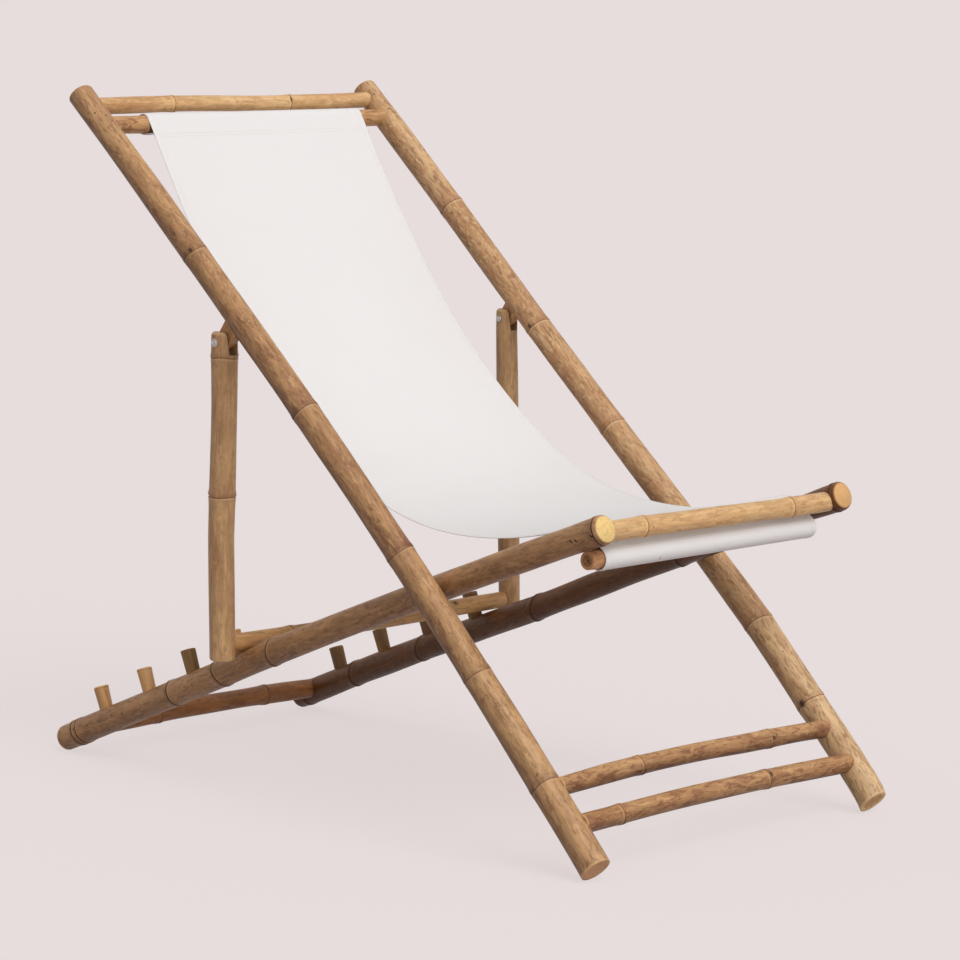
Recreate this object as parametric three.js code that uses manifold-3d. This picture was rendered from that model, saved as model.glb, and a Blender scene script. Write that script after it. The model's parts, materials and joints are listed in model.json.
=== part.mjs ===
// Folding deck chair of bamboo culms with a canvas sling.
//
// Millimetres, +Z up. The chair faces -Y, left is -X and right is +X as seen from the front,
// and the origin is on the floor under the middle of the chair.
// Three frames fold on each other: the back frame, the base frame that crosses it between
// its poles, and the prop frame that hangs from the back frame and stands on the base frame,
// in front of one of four pairs of pegs.

import * as THREE from 'three';
import { mergeVertices } from 'three/addons/utils/BufferGeometryUtils.js';
import Module from 'manifold-3d';

const wasm = await Module();
wasm.setup();

const degrees = Math.PI / 180;

// Clearances.
const fitClearance = 0.3;
const crossingClearance = 2.4;
const cutOverrun = 6;

// Back frame. Distances along a pole start at its foot.
const backSpacing = 560;
const backLength = 1413;
const backAngle = 43.4 * degrees;
const backFootRadius = 21.2;
const backTopRadius = 19.3;
const backBow = { left: 22, right: 16 };
const backBowPeakShare = { left: 0.44, right: 0.26 };
const backNodeShares = {
  left: [0.092, 0.217, 0.3625, 0.545, 0.761],
  right: [0.117, 0.217, 0.35, 0.489, 0.634, 0.812],
};
const topRailRadius = 12;
const topRailFromTop = 27;
const topSlingRodRadius = 13;
const topSlingRodFromTop = 67;
const upperStretcherRadius = 12.6;
const upperStretcherFromFoot = 121;
const lowerStretcherRadius = 12.6;
const lowerStretcherFromFoot = 62;
const stretcherForward = 6;
const topRailNodeShares = [0.27, 0.68];
const topRailWave = 1.5;
const topSlingRodNodeShares = [0.14, 0.62];
const upperStretcherNodeShares = [0.29, 0.74];
const upperStretcherBow = 5;
const upperStretcherWave = 1.5;
const lowerStretcherNodeShares = [0.14, 0.66];
const lowerStretcherBow = 4.5;
const poleTopBreak = 2.5;

// Base frame. Distances along a rail start at its rear end.
const baseLength = 1190;
const baseRailRadius = 19.4;
const baseRailTipRadius = 18.6;
const baseBow = 7;
const baseBowPeakShare = 0.57;
const baseNodeShares = {
  left: [0.036, 0.233, 0.327, 0.43, 0.7, 0.9925],
  right: [0.022, 0.1235, 0.259, 0.48, 0.738, 0.9925],
};
const crossingFromBackFoot = 455;
const crossingFromTip = 312;
const frontRailRadius = 13.4;
const frontRailFromTip = 19;
const seatRailRadius = 14;
const seatRailFromTip = 71;
const seatRailRaise = 3;
const frontSlingRodRadius = 11.8;
const frontSlingRodFromTip = 48;
const frontSlingRodLength = 500;
const frontSlingRodBore = 2.2;
const rearCrossbarRadius = 16.6;
const rearCrossbarFromEnd = 38;
const frontRailNodeShares = [0.18, 0.8];
const seatRailNodeShares = [0.35, 0.72];
const frontSlingRodNodeShares = [0.28, 0.7];
const rearCrossbarNodeShares = [0.3, 0.76];

// Pegs on the base rails.
const pegCount = 4;
const pegRadius = 10;
const pegTopRadius = 11.2;
const pegStandout = 33;
const pegDepth = 20;
const firstPegFromEnd = 109;
const pegPitch = 108;

// Prop frame.
const propPinFromBackFoot = 952;
const propPinDrop = 45;
const strutRadius = { left: 18.6, right: 16.2 };
const strutNodeShares = { left: [0.5, 0.919], right: [0.46] };
const strutBelowCrossbar = 23;
const strutTopBreak = 5;
const forkAbovePin = 15.5;
const forkSlotBelowPin = 15.5;
const forkNotchDepth = 5;
const forkSideClearance = 0.6;
const propCrossbarRadius = 12.3;
const propCrossbarNodeShares = [0.22, 0.76];
const tongueThickness = 13;
const tongueRootWidth = 34;
const tongueEndRadius = 12.5;
const tongueDepth = 11;
const hingePinRadius = 3;
const hingePinHeadRadius = 5.2;
const hingePinHeadHeight = 2.6;
const hingePinDomeShare = 0.8;
const hingePinClenchShare = 0.6;

// Crossing dowels, each blind in the pole and in the rail.
const crossingPinRadius = 5;
const crossingPinPastCentre = 4;

// Culms: the ridge and the groove at a node, the tenons and the turned details.
const nodeRidge = 1.1;
const nodeHalfLength = 12;
const nodeGroove = 2.2;
const nodeGrooveFloorShare = 0.33;
const smallNodeRidge = 0.9;
const smallNodeHalfLength = 8;
const smallNodeGroove = 1.6;
const tenonRadiusShare = 0.72;
const tenonPastCentre = 7;
const tenonInsideBar = 36;
const edgeBreak = 1.5;
const poleSides = 14;
const strutSides = 12;
const barSides = 10;
const pinSides = 12;
const stationSpacing = 120;

// Canvas sling.
const slingWidth = 428;
const canvasThickness = 1.6;
const slingBackAngle = 59.5 * degrees;
const slingSeatAngle = 14 * degrees;
const slingBackReachShare = 0.49;
const slingSeatReachShare = 0.41;
const topSeamReach = 27;
const frontSeamReach = 22;
const seamHeight = 9;
const slingSteps = 44;
const wrapStep = 18 * degrees;

const sides = ['left', 'right'];
const sideSign = { left: -1, right: 1 };

const bambooWarm = new THREE.MeshStandardMaterial({ color: 0xb08a5c, roughness: 0.55, metalness: 0 });
const bambooPale = new THREE.MeshStandardMaterial({ color: 0xcfa869, roughness: 0.5, metalness: 0 });
const bambooDark = new THREE.MeshStandardMaterial({ color: 0x8a6440, roughness: 0.6, metalness: 0 });
const hardwood = new THREE.MeshStandardMaterial({ color: 0x9c7444, roughness: 0.65, metalness: 0 });
const steel = new THREE.MeshStandardMaterial({ color: 0xb9bbbd, roughness: 0.3, metalness: 0.9 });
const canvas = new THREE.MeshStandardMaterial({ color: 0xeae8e4, roughness: 0.9, metalness: 0 });

// Solids

function toSolid(geometry) {
  const shell = geometry.clone();
  shell.deleteAttribute('normal');
  shell.deleteAttribute('uv');
  const merged = mergeVertices(shell);
  return new wasm.Manifold(new wasm.Mesh({
    numProp: 3,
    vertProperties: merged.attributes.position.array,
    triVerts: Uint32Array.from(merged.index.array),
  }));
}

function toGeometry(solid) {
  const mesh = solid.getMesh();
  const geometry = new THREE.BufferGeometry();
  geometry.setAttribute('position', new THREE.BufferAttribute(Float32Array.from(mesh.vertProperties), 3));
  geometry.setIndex(new THREE.BufferAttribute(Uint32Array.from(mesh.triVerts), 1));
  geometry.computeVertexNormals();
  return geometry;
}

function placedSolid(geometry, placement) {
  return toSolid(geometry.clone().applyMatrix4(placement));
}

// A placement in the side plane: the local Y axis leans by the angle above the horizontal.
function leaning(x, y, z, angle) {
  return new THREE.Matrix4().makeRotationX(angle).setPosition(x, y, z);
}

// A placement along X: the local Y axis points to +X.
function crosswise(x, y, z) {
  return new THREE.Matrix4().makeRotationZ(-Math.PI / 2).setPosition(x, y, z);
}

// Extrusions drawn in the side plane: the outline's axes become Y and Z, its depth X.
const sidePlane = new THREE.Matrix4().makeBasis(
  new THREE.Vector3(0, 1, 0),
  new THREE.Vector3(0, 0, 1),
  new THREE.Vector3(1, 0, 0),
);

function sideExtrusion(shape, thickness) {
  const options = { depth: thickness, bevelEnabled: false, curveSegments: pinSides };
  const geometry = new THREE.ExtrudeGeometry(shape, options);
  geometry.translate(0, 0, -thickness / 2);
  return geometry.applyMatrix4(sidePlane);
}

// Bamboo culms

// The sideways offset of a culm's centre: a bow that is greatest at the peak.
function bowAt(share, bow, peakShare) {
  const warp = Math.log(0.5) / Math.log(peakShare);
  return bow * Math.sin(Math.PI * Math.pow(share, warp));
}

// A culm along +Y from 0 to its length: it tapers, swells and grooves at its nodes, and bows
// towards +Z, with an optional wave that crosses its line between the nodes.
function culm(spec) {
  const { length, startRadius, endRadius, nodeShares, bow = 0, peakShare = 0.5, wave = 0 } = spec;
  const { ridge = nodeRidge, halfLength = nodeHalfLength, groove = nodeGroove } = spec;
  const { startBreak = 0, endBreak = 0, bore = 0, boreDepth = 0, grow = 0, around = poleSides } = spec;
  const radiusAt = (y) => startRadius + (endRadius - startRadius) * y / length + grow;
  const rings = [];
  for (const share of nodeShares) {
    const y = share * length;
    // A node's swell stops where the culm's broken edge begins.
    const reach = Math.min(halfLength, y - startBreak - fitClearance, length - endBreak - y - fitClearance);
    rings.push([y - reach, 0], [y - groove, ridge]);
    rings.push([y, ridge * nodeGrooveFloorShare]);
    rings.push([y + groove, ridge], [y + reach, 0]);
  }
  rings.push([startBreak, 0], [length - endBreak, 0]);
  rings.sort((a, b) => a[0] - b[0]);
  const curved = bow !== 0 || wave !== 0;
  const profile = [];
  if (bore > 0) profile.push([0, boreDepth], [bore, boreDepth], [bore, 0]);
  else profile.push([0, 0]);
  if (startBreak > 0) profile.push([radiusAt(0) - startBreak, 0]);
  let last = startBreak;
  for (const [y, swell] of rings) {
    const steps = curved ? Math.ceil((y - last) / stationSpacing) : 1;
    for (let step = 1; step < steps; step += 1) {
      const between = last + (y - last) * step / steps;
      profile.push([radiusAt(between), between]);
    }
    profile.push([radiusAt(y) + swell, y]);
    last = y;
  }
  if (endBreak > 0) profile.push([radiusAt(length) - endBreak, length]);
  if (bore > 0) profile.push([bore, length], [bore, length - boreDepth], [0, length - boreDepth]);
  else profile.push([0, length]);
  const geometry = new THREE.LatheGeometry(profile.map(([r, y]) => new THREE.Vector2(r, y)), around);
  if (curved) {
    const position = geometry.attributes.position;
    for (let i = 0; i < position.count; i += 1) {
      const share = THREE.MathUtils.clamp(position.getY(i) / length, 0, 1);
      const offset = bowAt(share, bow, peakShare);
      const sway = wave * Math.sin(2 * Math.PI * share) * Math.sin(Math.PI * share);
      position.setZ(i, position.getZ(i) + offset + sway);
    }
  }
  return geometry;
}

function roundBar(radius, length, around = pinSides) {
  return new THREE.CylinderGeometry(radius, radius, length, around);
}

// Layout of the frames in the side plane

// A line in the side plane: a start point, a lean, and the bow of the culm that follows it.
class SideLine {
  constructor(y, z, angle) {
    this.origin = new THREE.Vector2(y, z);
    this.angle = angle;
    this.along = new THREE.Vector2(Math.cos(angle), Math.sin(angle));
    this.above = new THREE.Vector2(-Math.sin(angle), Math.cos(angle));
  }

  point(distance, raise = 0) {
    return this.origin.clone().addScaledVector(this.along, distance).addScaledVector(this.above, raise);
  }
}

function backOffset(distance, side) {
  return bowAt(distance / backLength, backBow[side], backBowPeakShare[side]);
}

function meanBackOffset(distance) {
  return (backOffset(distance, 'left') + backOffset(distance, 'right')) / 2;
}

function baseOffset(distance) {
  return bowAt(distance / baseLength, baseBow, baseBowPeakShare);
}

function railRadius(distance) {
  return THREE.MathUtils.lerp(baseRailRadius, baseRailTipRadius, distance / baseLength);
}

// The poles' sawn feet and the rails' sawn rear ends stand on the floor with their lower rims.
const footHeight = backFootRadius * Math.cos(backAngle);
const backStart = new SideLine(0, footHeight, backAngle);
const crossingStart = backStart.point(crossingFromBackFoot, meanBackOffset(crossingFromBackFoot));
const crossingFromRear = baseLength - crossingFromTip;
const crossingRise = baseOffset(crossingFromRear) + baseRailRadius;
const baseAngle = Math.asin(crossingStart.y / Math.hypot(crossingFromRear, crossingRise))
  - Math.atan2(crossingRise, crossingFromRear);
const rearHeight = baseRailRadius * Math.cos(baseAngle);
const rearStart = crossingStart.x + crossingFromRear * Math.cos(baseAngle)
  - baseOffset(crossingFromRear) * Math.sin(baseAngle);
const frontReach = -backFootRadius * Math.sin(backAngle);
const rearReach = rearStart + baseRailRadius * Math.sin(baseAngle);
const middle = (frontReach + rearReach) / 2;

const backLine = new SideLine(-middle, footHeight, backAngle);
const baseLine = new SideLine(rearStart - middle, rearHeight, Math.PI - baseAngle);
// The rail runs forward, so what is above it lies on the other side of its line.
baseLine.above.negate();
const crossing = backLine.point(crossingFromBackFoot, meanBackOffset(crossingFromBackFoot));

const backX = backSpacing / 2;
const baseX = backX - backFootRadius - baseRailRadius - crossingClearance;

const pegPlaces = Array.from({ length: pegCount }, (_, i) => firstPegFromEnd + pegPitch * i);
const stopPeg = pegPlaces[pegCount - 1];
const propSeatDistance = stopPeg + pegRadius + propCrossbarRadius + 2 * fitClearance;
const propSeat = baseLine.point(
  propSeatDistance,
  baseOffset(propSeatDistance) + railRadius(propSeatDistance) + propCrossbarRadius + fitClearance,
);
const propPin = backLine.point(propPinFromBackFoot, meanBackOffset(propPinFromBackFoot) - propPinDrop);
const strutAngle = Math.atan2(propPin.y - propSeat.y, propPin.x - propSeat.x);
const strutReach = propPin.distanceTo(propSeat);
const strutLength = strutBelowCrossbar + strutReach + forkAbovePin;
const strutLine = new SideLine(propSeat.x, propSeat.y, strutAngle);
const strutFoot = strutLine.point(-strutBelowCrossbar);

// Poles, rails and struts before they are cut

function backPoleSpec(side, grow = 0) {
  return {
    length: backLength,
    startRadius: backFootRadius,
    endRadius: backTopRadius,
    nodeShares: backNodeShares[side],
    bow: backBow[side],
    peakShare: backBowPeakShare[side],
    endBreak: poleTopBreak,
    grow,
  };
}

function baseRailSpec(side, grow = 0) {
  return {
    length: baseLength,
    startRadius: baseRailRadius,
    endRadius: baseRailTipRadius,
    nodeShares: baseNodeShares[side],
    bow: -baseBow,
    peakShare: baseBowPeakShare,
    endBreak: edgeBreak,
    grow,
  };
}

function strutSpec(side, grow = 0) {
  return {
    length: strutLength,
    startRadius: strutRadius[side],
    endRadius: strutRadius[side],
    nodeShares: strutNodeShares[side],
    halfLength: smallNodeHalfLength,
    startBreak: edgeBreak,
    endBreak: strutTopBreak,
    around: strutSides,
    grow,
  };
}

const backPlacement = {};
const basePlacement = {};
const strutPlacement = {};
for (const side of sides) {
  const sign = sideSign[side];
  backPlacement[side] = leaning(sign * backX, backLine.origin.x, backLine.origin.y, backAngle);
  basePlacement[side] = leaning(sign * baseX, baseLine.origin.x, baseLine.origin.y, baseLine.angle);
  strutPlacement[side] = leaning(sign * backX, strutFoot.x, strutFoot.y, strutAngle);
}

const backPoles = {};
const baseRails = {};
const struts = {};
for (const side of sides) {
  backPoles[side] = placedSolid(culm(backPoleSpec(side)), backPlacement[side]);
  baseRails[side] = placedSolid(culm(baseRailSpec(side)), basePlacement[side]);
  struts[side] = placedSolid(culm(strutSpec(side)), strutPlacement[side]);
}

// Cross members

// A bar between two carriers: its ends are coped to the carriers' round sides and carry
// tenons, and each carrier gets the socket for its tenon.
function crossMember(centre, halfSpan, spec, carriers, carrierSpec, carrierPlacement) {
  const placement = crosswise(-halfSpan, centre.x, centre.y);
  const bar = { length: 2 * halfSpan, endRadius: spec.startRadius, around: barSides, ...spec };
  let solid = placedSolid(culm(bar), placement);
  const tenonRadius = spec.startRadius * tenonRadiusShare;
  for (const side of sides) {
    const envelope = placedSolid(culm(carrierSpec(side, fitClearance)), carrierPlacement[side]);
    solid = solid.subtract(envelope);
  }
  for (const side of sides) {
    const inner = halfSpan - tenonInsideBar;
    const outer = halfSpan + tenonPastCentre;
    const tenonCentre = sideSign[side] * (inner + outer) / 2;
    const tenon = roundBar(tenonRadius, outer - inner);
    solid = solid.add(placedSolid(tenon, crosswise(tenonCentre, centre.x, centre.y)));
    const socketLength = outer - inner + fitClearance;
    const socketCentre = sideSign[side] * (inner + socketLength / 2);
    const socket = placedSolid(
      roundBar(tenonRadius + fitClearance, socketLength),
      crosswise(socketCentre, centre.x, centre.y),
    );
    carriers[side] = carriers[side].subtract(socket);
  }
  return { solid, placement: crosswise(0, centre.x, centre.y) };
}

function smallCulm(radius, nodeShares, more = {}) {
  return {
    startRadius: radius,
    nodeShares,
    ridge: smallNodeRidge,
    halfLength: smallNodeHalfLength,
    groove: smallNodeGroove,
    ...more,
  };
}

function acrossBack(distance, raise, spec) {
  const centre = backLine.point(distance, meanBackOffset(distance) + raise);
  return crossMember(centre, backX, spec, backPoles, backPoleSpec, backPlacement);
}

function acrossBase(distance, raise, spec) {
  const centre = baseLine.point(distance, baseOffset(distance) + raise);
  return crossMember(centre, baseX, spec, baseRails, baseRailSpec, basePlacement);
}

const topRail = acrossBack(
  backLength - topRailFromTop,
  0,
  smallCulm(topRailRadius, topRailNodeShares, { wave: topRailWave }),
);
const topSlingRod = acrossBack(
  backLength - topSlingRodFromTop,
  0,
  smallCulm(topSlingRodRadius, topSlingRodNodeShares),
);
const upperStretcher = acrossBack(
  upperStretcherFromFoot,
  stretcherForward,
  smallCulm(upperStretcherRadius, upperStretcherNodeShares, {
    bow: upperStretcherBow,
    wave: upperStretcherWave,
  }),
);
const lowerStretcher = acrossBack(
  lowerStretcherFromFoot,
  stretcherForward,
  smallCulm(lowerStretcherRadius, lowerStretcherNodeShares, { bow: lowerStretcherBow }),
);
const frontRail = acrossBase(
  baseLength - frontRailFromTip,
  0,
  smallCulm(frontRailRadius, frontRailNodeShares),
);
const seatRail = acrossBase(
  baseLength - seatRailFromTip,
  seatRailRaise,
  smallCulm(seatRailRadius, seatRailNodeShares),
);
const rearCrossbar = acrossBase(
  rearCrossbarFromEnd,
  0,
  smallCulm(rearCrossbarRadius, rearCrossbarNodeShares),
);
const propCrossbar = crossMember(
  propSeat,
  backX,
  smallCulm(propCrossbarRadius, propCrossbarNodeShares),
  struts,
  strutSpec,
  strutPlacement,
);

// Pegs

function pegGeometry() {
  const top = pegDepth + pegStandout;
  const profile = [
    [0, 0],
    [pegRadius - edgeBreak, 0],
    [pegRadius, edgeBreak],
    [pegRadius, pegDepth],
    [pegTopRadius, top - edgeBreak],
    [pegTopRadius - edgeBreak, top],
    [0, top],
  ];
  return new THREE.LatheGeometry(profile.map(([r, y]) => new THREE.Vector2(r, y)), pinSides);
}

// Pegs stand square to the rail. Their root is pegDepth below the top of the rail.
function pegPlacement(side, distance) {
  const root = baseLine.point(distance, baseOffset(distance) + railRadius(distance) - pegDepth);
  return leaning(sideSign[side] * baseX, root.x, root.y, Math.PI / 2 - baseAngle);
}

const pegs = [];
for (const side of sides) {
  pegPlaces.forEach((distance, index) => {
    const placement = pegPlacement(side, distance);
    const solid = placedSolid(pegGeometry(), placement);
    const holeLength = pegDepth + fitClearance + cutOverrun;
    const hole = roundBar(pegRadius + fitClearance, holeLength);
    hole.translate(0, holeLength / 2 - fitClearance, 0);
    baseRails[side] = baseRails[side].subtract(placedSolid(hole, placement));
    pegs.push({ name: `${side}_peg_${index + 1}`, solid, placement });
  });
}

// Crossing dowels

const crossingPins = {};
for (const side of sides) {
  const inner = baseX - crossingPinPastCentre;
  const outer = backX + crossingPinPastCentre;
  const length = outer - inner;
  const placement = crosswise(sideSign[side] * (inner + outer) / 2, crossing.x, crossing.y);
  const bore = roundBar(crossingPinRadius + fitClearance, length + 2 * fitClearance);
  backPoles[side] = backPoles[side].subtract(placedSolid(bore, placement));
  baseRails[side] = baseRails[side].subtract(placedSolid(bore, placement));
  crossingPins[side] = { solid: placedSolid(roundBar(crossingPinRadius, length), placement), placement };
}

// Fork hinges at the top of the prop

// The tongue's outline, in distances along and above the back poles' line.
function tongueShape(side, grow = 0) {
  const centre = meanBackOffset(propPinFromBackFoot) - propPinDrop;
  const root = backOffset(propPinFromBackFoot, side) - backTopRadius + tongueDepth + grow;
  const half = tongueRootWidth / 2 + grow;
  const end = tongueEndRadius + grow;
  const shape = new THREE.Shape();
  shape.moveTo(propPinFromBackFoot - half, root);
  shape.lineTo(propPinFromBackFoot - end, centre);
  shape.absarc(propPinFromBackFoot, centre, end, Math.PI, 2 * Math.PI, false);
  shape.lineTo(propPinFromBackFoot + half, root);
  return shape;
}

// The fork's slot, in distances along the strut from the pin: flat sides and a V floor.
function forkSlotShape(radius) {
  const wide = radius + cutOverrun;
  const shape = new THREE.Shape();
  shape.moveTo(forkAbovePin + cutOverrun, -wide);
  shape.lineTo(forkAbovePin + cutOverrun, wide);
  shape.lineTo(-forkSlotBelowPin, wide);
  shape.lineTo(-forkSlotBelowPin - forkNotchDepth, 0);
  shape.lineTo(-forkSlotBelowPin, -wide);
  return shape;
}

// A riveted pin: a domed head outside and a clenched washer end inside the fork.
function hingePinGeometry(radius) {
  const grip = radius + fitClearance;
  const profile = [
    [0, -grip - hingePinHeadHeight],
    [hingePinHeadRadius * hingePinDomeShare, -grip - hingePinHeadHeight],
    [hingePinHeadRadius, -grip - hingePinHeadHeight / 2],
    [hingePinHeadRadius, -grip],
    [hingePinRadius, -grip],
    [hingePinRadius, grip],
    [hingePinHeadRadius, grip],
    [hingePinHeadRadius, grip + hingePinHeadHeight / 2],
    [hingePinHeadRadius * hingePinClenchShare, grip + hingePinHeadHeight],
    [0, grip + hingePinHeadHeight],
  ];
  return new THREE.LatheGeometry(profile.map(([r, y]) => new THREE.Vector2(r, y)), pinSides);
}

const tongues = {};
const hingePins = {};
for (const side of sides) {
  const x = sideSign[side] * backX;
  const pinPlacement = crosswise(x, propPin.x, propPin.y);
  const boreLength = 2 * (strutRadius[side] + cutOverrun);
  const pinBore = placedSolid(roundBar(hingePinRadius + fitClearance, boreLength), pinPlacement);
  const slot = sideExtrusion(forkSlotShape(strutRadius[side]), tongueThickness + 2 * forkSideClearance);
  struts[side] = struts[side]
    .subtract(placedSolid(slot, leaning(x, propPin.x, propPin.y, strutAngle)))
    .subtract(pinBore);
  const tongue = sideExtrusion(tongueShape(side), tongueThickness);
  tongues[side] = {
    solid: placedSolid(tongue, backPlacement[side]).subtract(pinBore),
    placement: leaning(x, propPin.x, propPin.y, backAngle),
  };
  const mortise = sideExtrusion(tongueShape(side, fitClearance), tongueThickness + 2 * fitClearance);
  backPoles[side] = backPoles[side].subtract(placedSolid(mortise, backPlacement[side]));
  hingePins[side] = {
    solid: placedSolid(hingePinGeometry(strutRadius[side]), pinPlacement),
    placement: pinPlacement,
  };
}

// Front sling rod, under the rails and between the front rail and the seat rail

const frontRodDistance = baseLength - frontSlingRodFromTip;
const frontRodCentre = baseLine.point(
  frontRodDistance,
  baseOffset(frontRodDistance) - railRadius(frontRodDistance) - frontSlingRodRadius - fitClearance,
);
const frontSlingRod = {
  solid: placedSolid(
    culm(smallCulm(frontSlingRodRadius, frontSlingRodNodeShares, {
      length: frontSlingRodLength,
      endRadius: frontSlingRodRadius,
      startBreak: edgeBreak,
      endBreak: edgeBreak,
      bore: frontSlingRodBore,
      boreDepth: frontSlingRodRadius,
      around: barSides,
    })),
    crosswise(-frontSlingRodLength / 2, frontRodCentre.x, frontRodCentre.y),
  ),
  placement: crosswise(0, frontRodCentre.x, frontRodCentre.y),
};

// Canvas sling

const seatRailDistance = baseLength - seatRailFromTip;
const seatRailCentre = baseLine.point(seatRailDistance, baseOffset(seatRailDistance) + seatRailRaise);
const topRodDistance = backLength - topSlingRodFromTop;
const topRodCentre = backLine.point(topRodDistance, meanBackOffset(topRodDistance));

function onCircle(centre, radius, angle) {
  return new THREE.Vector2(centre.x + radius * Math.cos(angle), centre.y + radius * Math.sin(angle));
}

// Points on an arc between two angles, its ends included.
function arcPoints(centre, radius, from, to) {
  const steps = Math.max(1, Math.round(Math.abs(to - from) / wrapStep));
  const step = (to - from) / steps;
  return Array.from({ length: steps + 1 }, (_, i) => onCircle(centre, radius, from + step * i));
}

// A path moved sideways: a positive distance moves it to the left of its direction.
function offsetPath(points, distance) {
  return points.map((point, i) => {
    const before = points[Math.max(0, i - 1)];
    const after = points[Math.min(points.length - 1, i + 1)];
    const direction = after.clone().sub(before).normalize();
    return new THREE.Vector2(point.x - direction.y * distance, point.y + direction.x * distance);
  });
}

// The point at a distance along a path.
function pointAlong(points, distance) {
  let left = distance;
  for (let i = 1; i < points.length; i += 1) {
    const step = points[i].distanceTo(points[i - 1]);
    if (left <= step) return points[i - 1].clone().lerp(points[i], left / step);
    left -= step;
  }
  return points[points.length - 1].clone();
}

// The angle at which a straight flap from a point touches a wrapped circle, after it (1) or
// before it (-1) counterclockwise, from zero up.
function flapAngle(point, centre, radius, turn) {
  const away = point.clone().sub(centre);
  const angle = away.angle() + turn * Math.acos(radius / away.length());
  return angle < 0 ? angle + 2 * Math.PI : angle;
}

// The canvas in the side plane: it wraps the top rod, hangs as the back and the seat, turns
// over the seat rail, wraps the front rod from the front and is sewn back to itself at both
// ends, which leaves a tunnel for each rod.
function slingShape() {
  const half = canvasThickness / 2;
  const looseFit = fitClearance + half;
  const ridgeFit = smallNodeRidge + looseFit;
  const topWrap = topSlingRodRadius + ridgeFit;
  const seatWrap = seatRailRadius + ridgeFit;
  const frontWrap = frontSlingRodRadius + ridgeFit;

  const backDirection = new THREE.Vector2(-Math.cos(slingBackAngle), -Math.sin(slingBackAngle));
  const leaveTop = onCircle(topRodCentre, topWrap, Math.PI / 2 + slingBackAngle);
  const seatDirection = new THREE.Vector2(Math.cos(slingSeatAngle), -Math.sin(slingSeatAngle));
  const seatMeetAngle = Math.PI / 2 - slingSeatAngle;
  const meetSeat = onCircle(seatRailCentre, seatWrap, seatMeetAngle);
  const chord = leaveTop.distanceTo(meetSeat);
  const hang = new THREE.CubicBezierCurve(
    leaveTop,
    leaveTop.clone().addScaledVector(backDirection, chord * slingBackReachShare),
    meetSeat.clone().addScaledVector(seatDirection, chord * slingSeatReachShare),
    meetSeat,
  ).getSpacedPoints(slingSteps);

  // The straight drop from the seat rail to the front rod touches both on their front sides.
  const drop = frontRodCentre.clone().sub(seatRailCentre);
  const dropSide = Math.asin((seatWrap - frontWrap) / drop.length());
  const dropNormal = drop.angle() - Math.PI / 2 + dropSide;
  const seatArc = arcPoints(seatRailCentre, seatWrap, seatMeetAngle, dropNormal);
  const meetRod = onCircle(frontRodCentre, frontWrap, dropNormal);
  const leaveSeat = seatArc[seatArc.length - 1];

  const hangInside = offsetPath(hang, half);
  const topApex = pointAlong(hangInside, topSeamReach - seamHeight / 2);
  const topFlap = flapAngle(topApex, topRodCentre, topWrap - half, 1);
  const topArc = arcPoints(topRodCentre, topWrap, topFlap - 2 * Math.PI, Math.PI / 2 + slingBackAngle);

  const dropInside = offsetPath([meetRod, leaveSeat], -half);
  const frontApex = pointAlong(dropInside, frontSeamReach - seamHeight / 2);
  const frontFlap = flapAngle(frontApex, frontRodCentre, frontWrap - half, -1);
  const frontArc = arcPoints(frontRodCentre, frontWrap, dropNormal, frontFlap + 2 * Math.PI);

  const path = [...topArc, ...hang.slice(1), ...seatArc.slice(1), ...frontArc];
  const outside = offsetPath(path, -half);
  const inside = offsetPath(path, half);
  const topHole = [...inside.slice(0, topArc.length), topApex];
  const frontHole = [frontApex, ...inside.slice(inside.length - frontArc.length)];
  const back = [
    pointAlong(hangInside, topSeamReach + seamHeight / 2),
    ...hangInside.filter((point) => point.distanceTo(hangInside[0]) > topSeamReach + seamHeight),
    ...offsetPath(seatArc, half).slice(1),
    pointAlong(dropInside, frontSeamReach + seamHeight / 2),
  ];
  const shape = new THREE.Shape([...outside, ...back.reverse()]);
  shape.holes.push(new THREE.Path(topHole), new THREE.Path(frontHole));
  return shape;
}

const sling = {
  solid: toSolid(sideExtrusion(slingShape(), slingWidth)),
  placement: new THREE.Matrix4().setPosition(0, crossing.x, crossing.y),
};

// Scene graph: each frame turns about its own hinge

function frameGroup(centre, angle) {
  const group = new THREE.Group();
  group.position.set(0, centre.x, centre.y);
  group.rotation.x = angle;
  return group;
}

const chair = new THREE.Group();
const baseFrame = frameGroup(crossing, -baseAngle);
const backFrame = frameGroup(crossing, backAngle);
const propFrame = frameGroup(propPin, strutAngle);
chair.add(baseFrame, backFrame, propFrame);
chair.updateMatrixWorld(true);

function addPiece(group, name, piece, material) {
  const geometry = toGeometry(piece.solid).applyMatrix4(piece.placement.clone().invert());
  const mesh = new THREE.Mesh(geometry, material);
  mesh.name = name;
  const local = group.matrixWorld.clone().invert().multiply(piece.placement);
  local.decompose(mesh.position, mesh.quaternion, mesh.scale);
  group.add(mesh);
}

for (const side of sides) {
  const rail = { solid: baseRails[side], placement: basePlacement[side] };
  const pole = { solid: backPoles[side], placement: backPlacement[side] };
  const strut = { solid: struts[side], placement: strutPlacement[side] };
  addPiece(baseFrame, `${side}_base_rail`, rail, bambooWarm);
  addPiece(baseFrame, `${side}_crossing_pin`, crossingPins[side], steel);
  addPiece(backFrame, `${side}_back_pole`, pole, bambooWarm);
  addPiece(backFrame, `${side}_hinge_tongue`, tongues[side], hardwood);
  addPiece(propFrame, `${side}_prop_strut`, strut, bambooWarm);
  addPiece(propFrame, `${side}_hinge_pin`, hingePins[side], steel);
}
for (const peg of pegs) addPiece(baseFrame, peg.name, peg, bambooPale);
addPiece(baseFrame, 'front_rail', frontRail, bambooPale);
addPiece(baseFrame, 'seat_rail', seatRail, bambooWarm);
addPiece(baseFrame, 'rear_crossbar', rearCrossbar, bambooDark);
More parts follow.
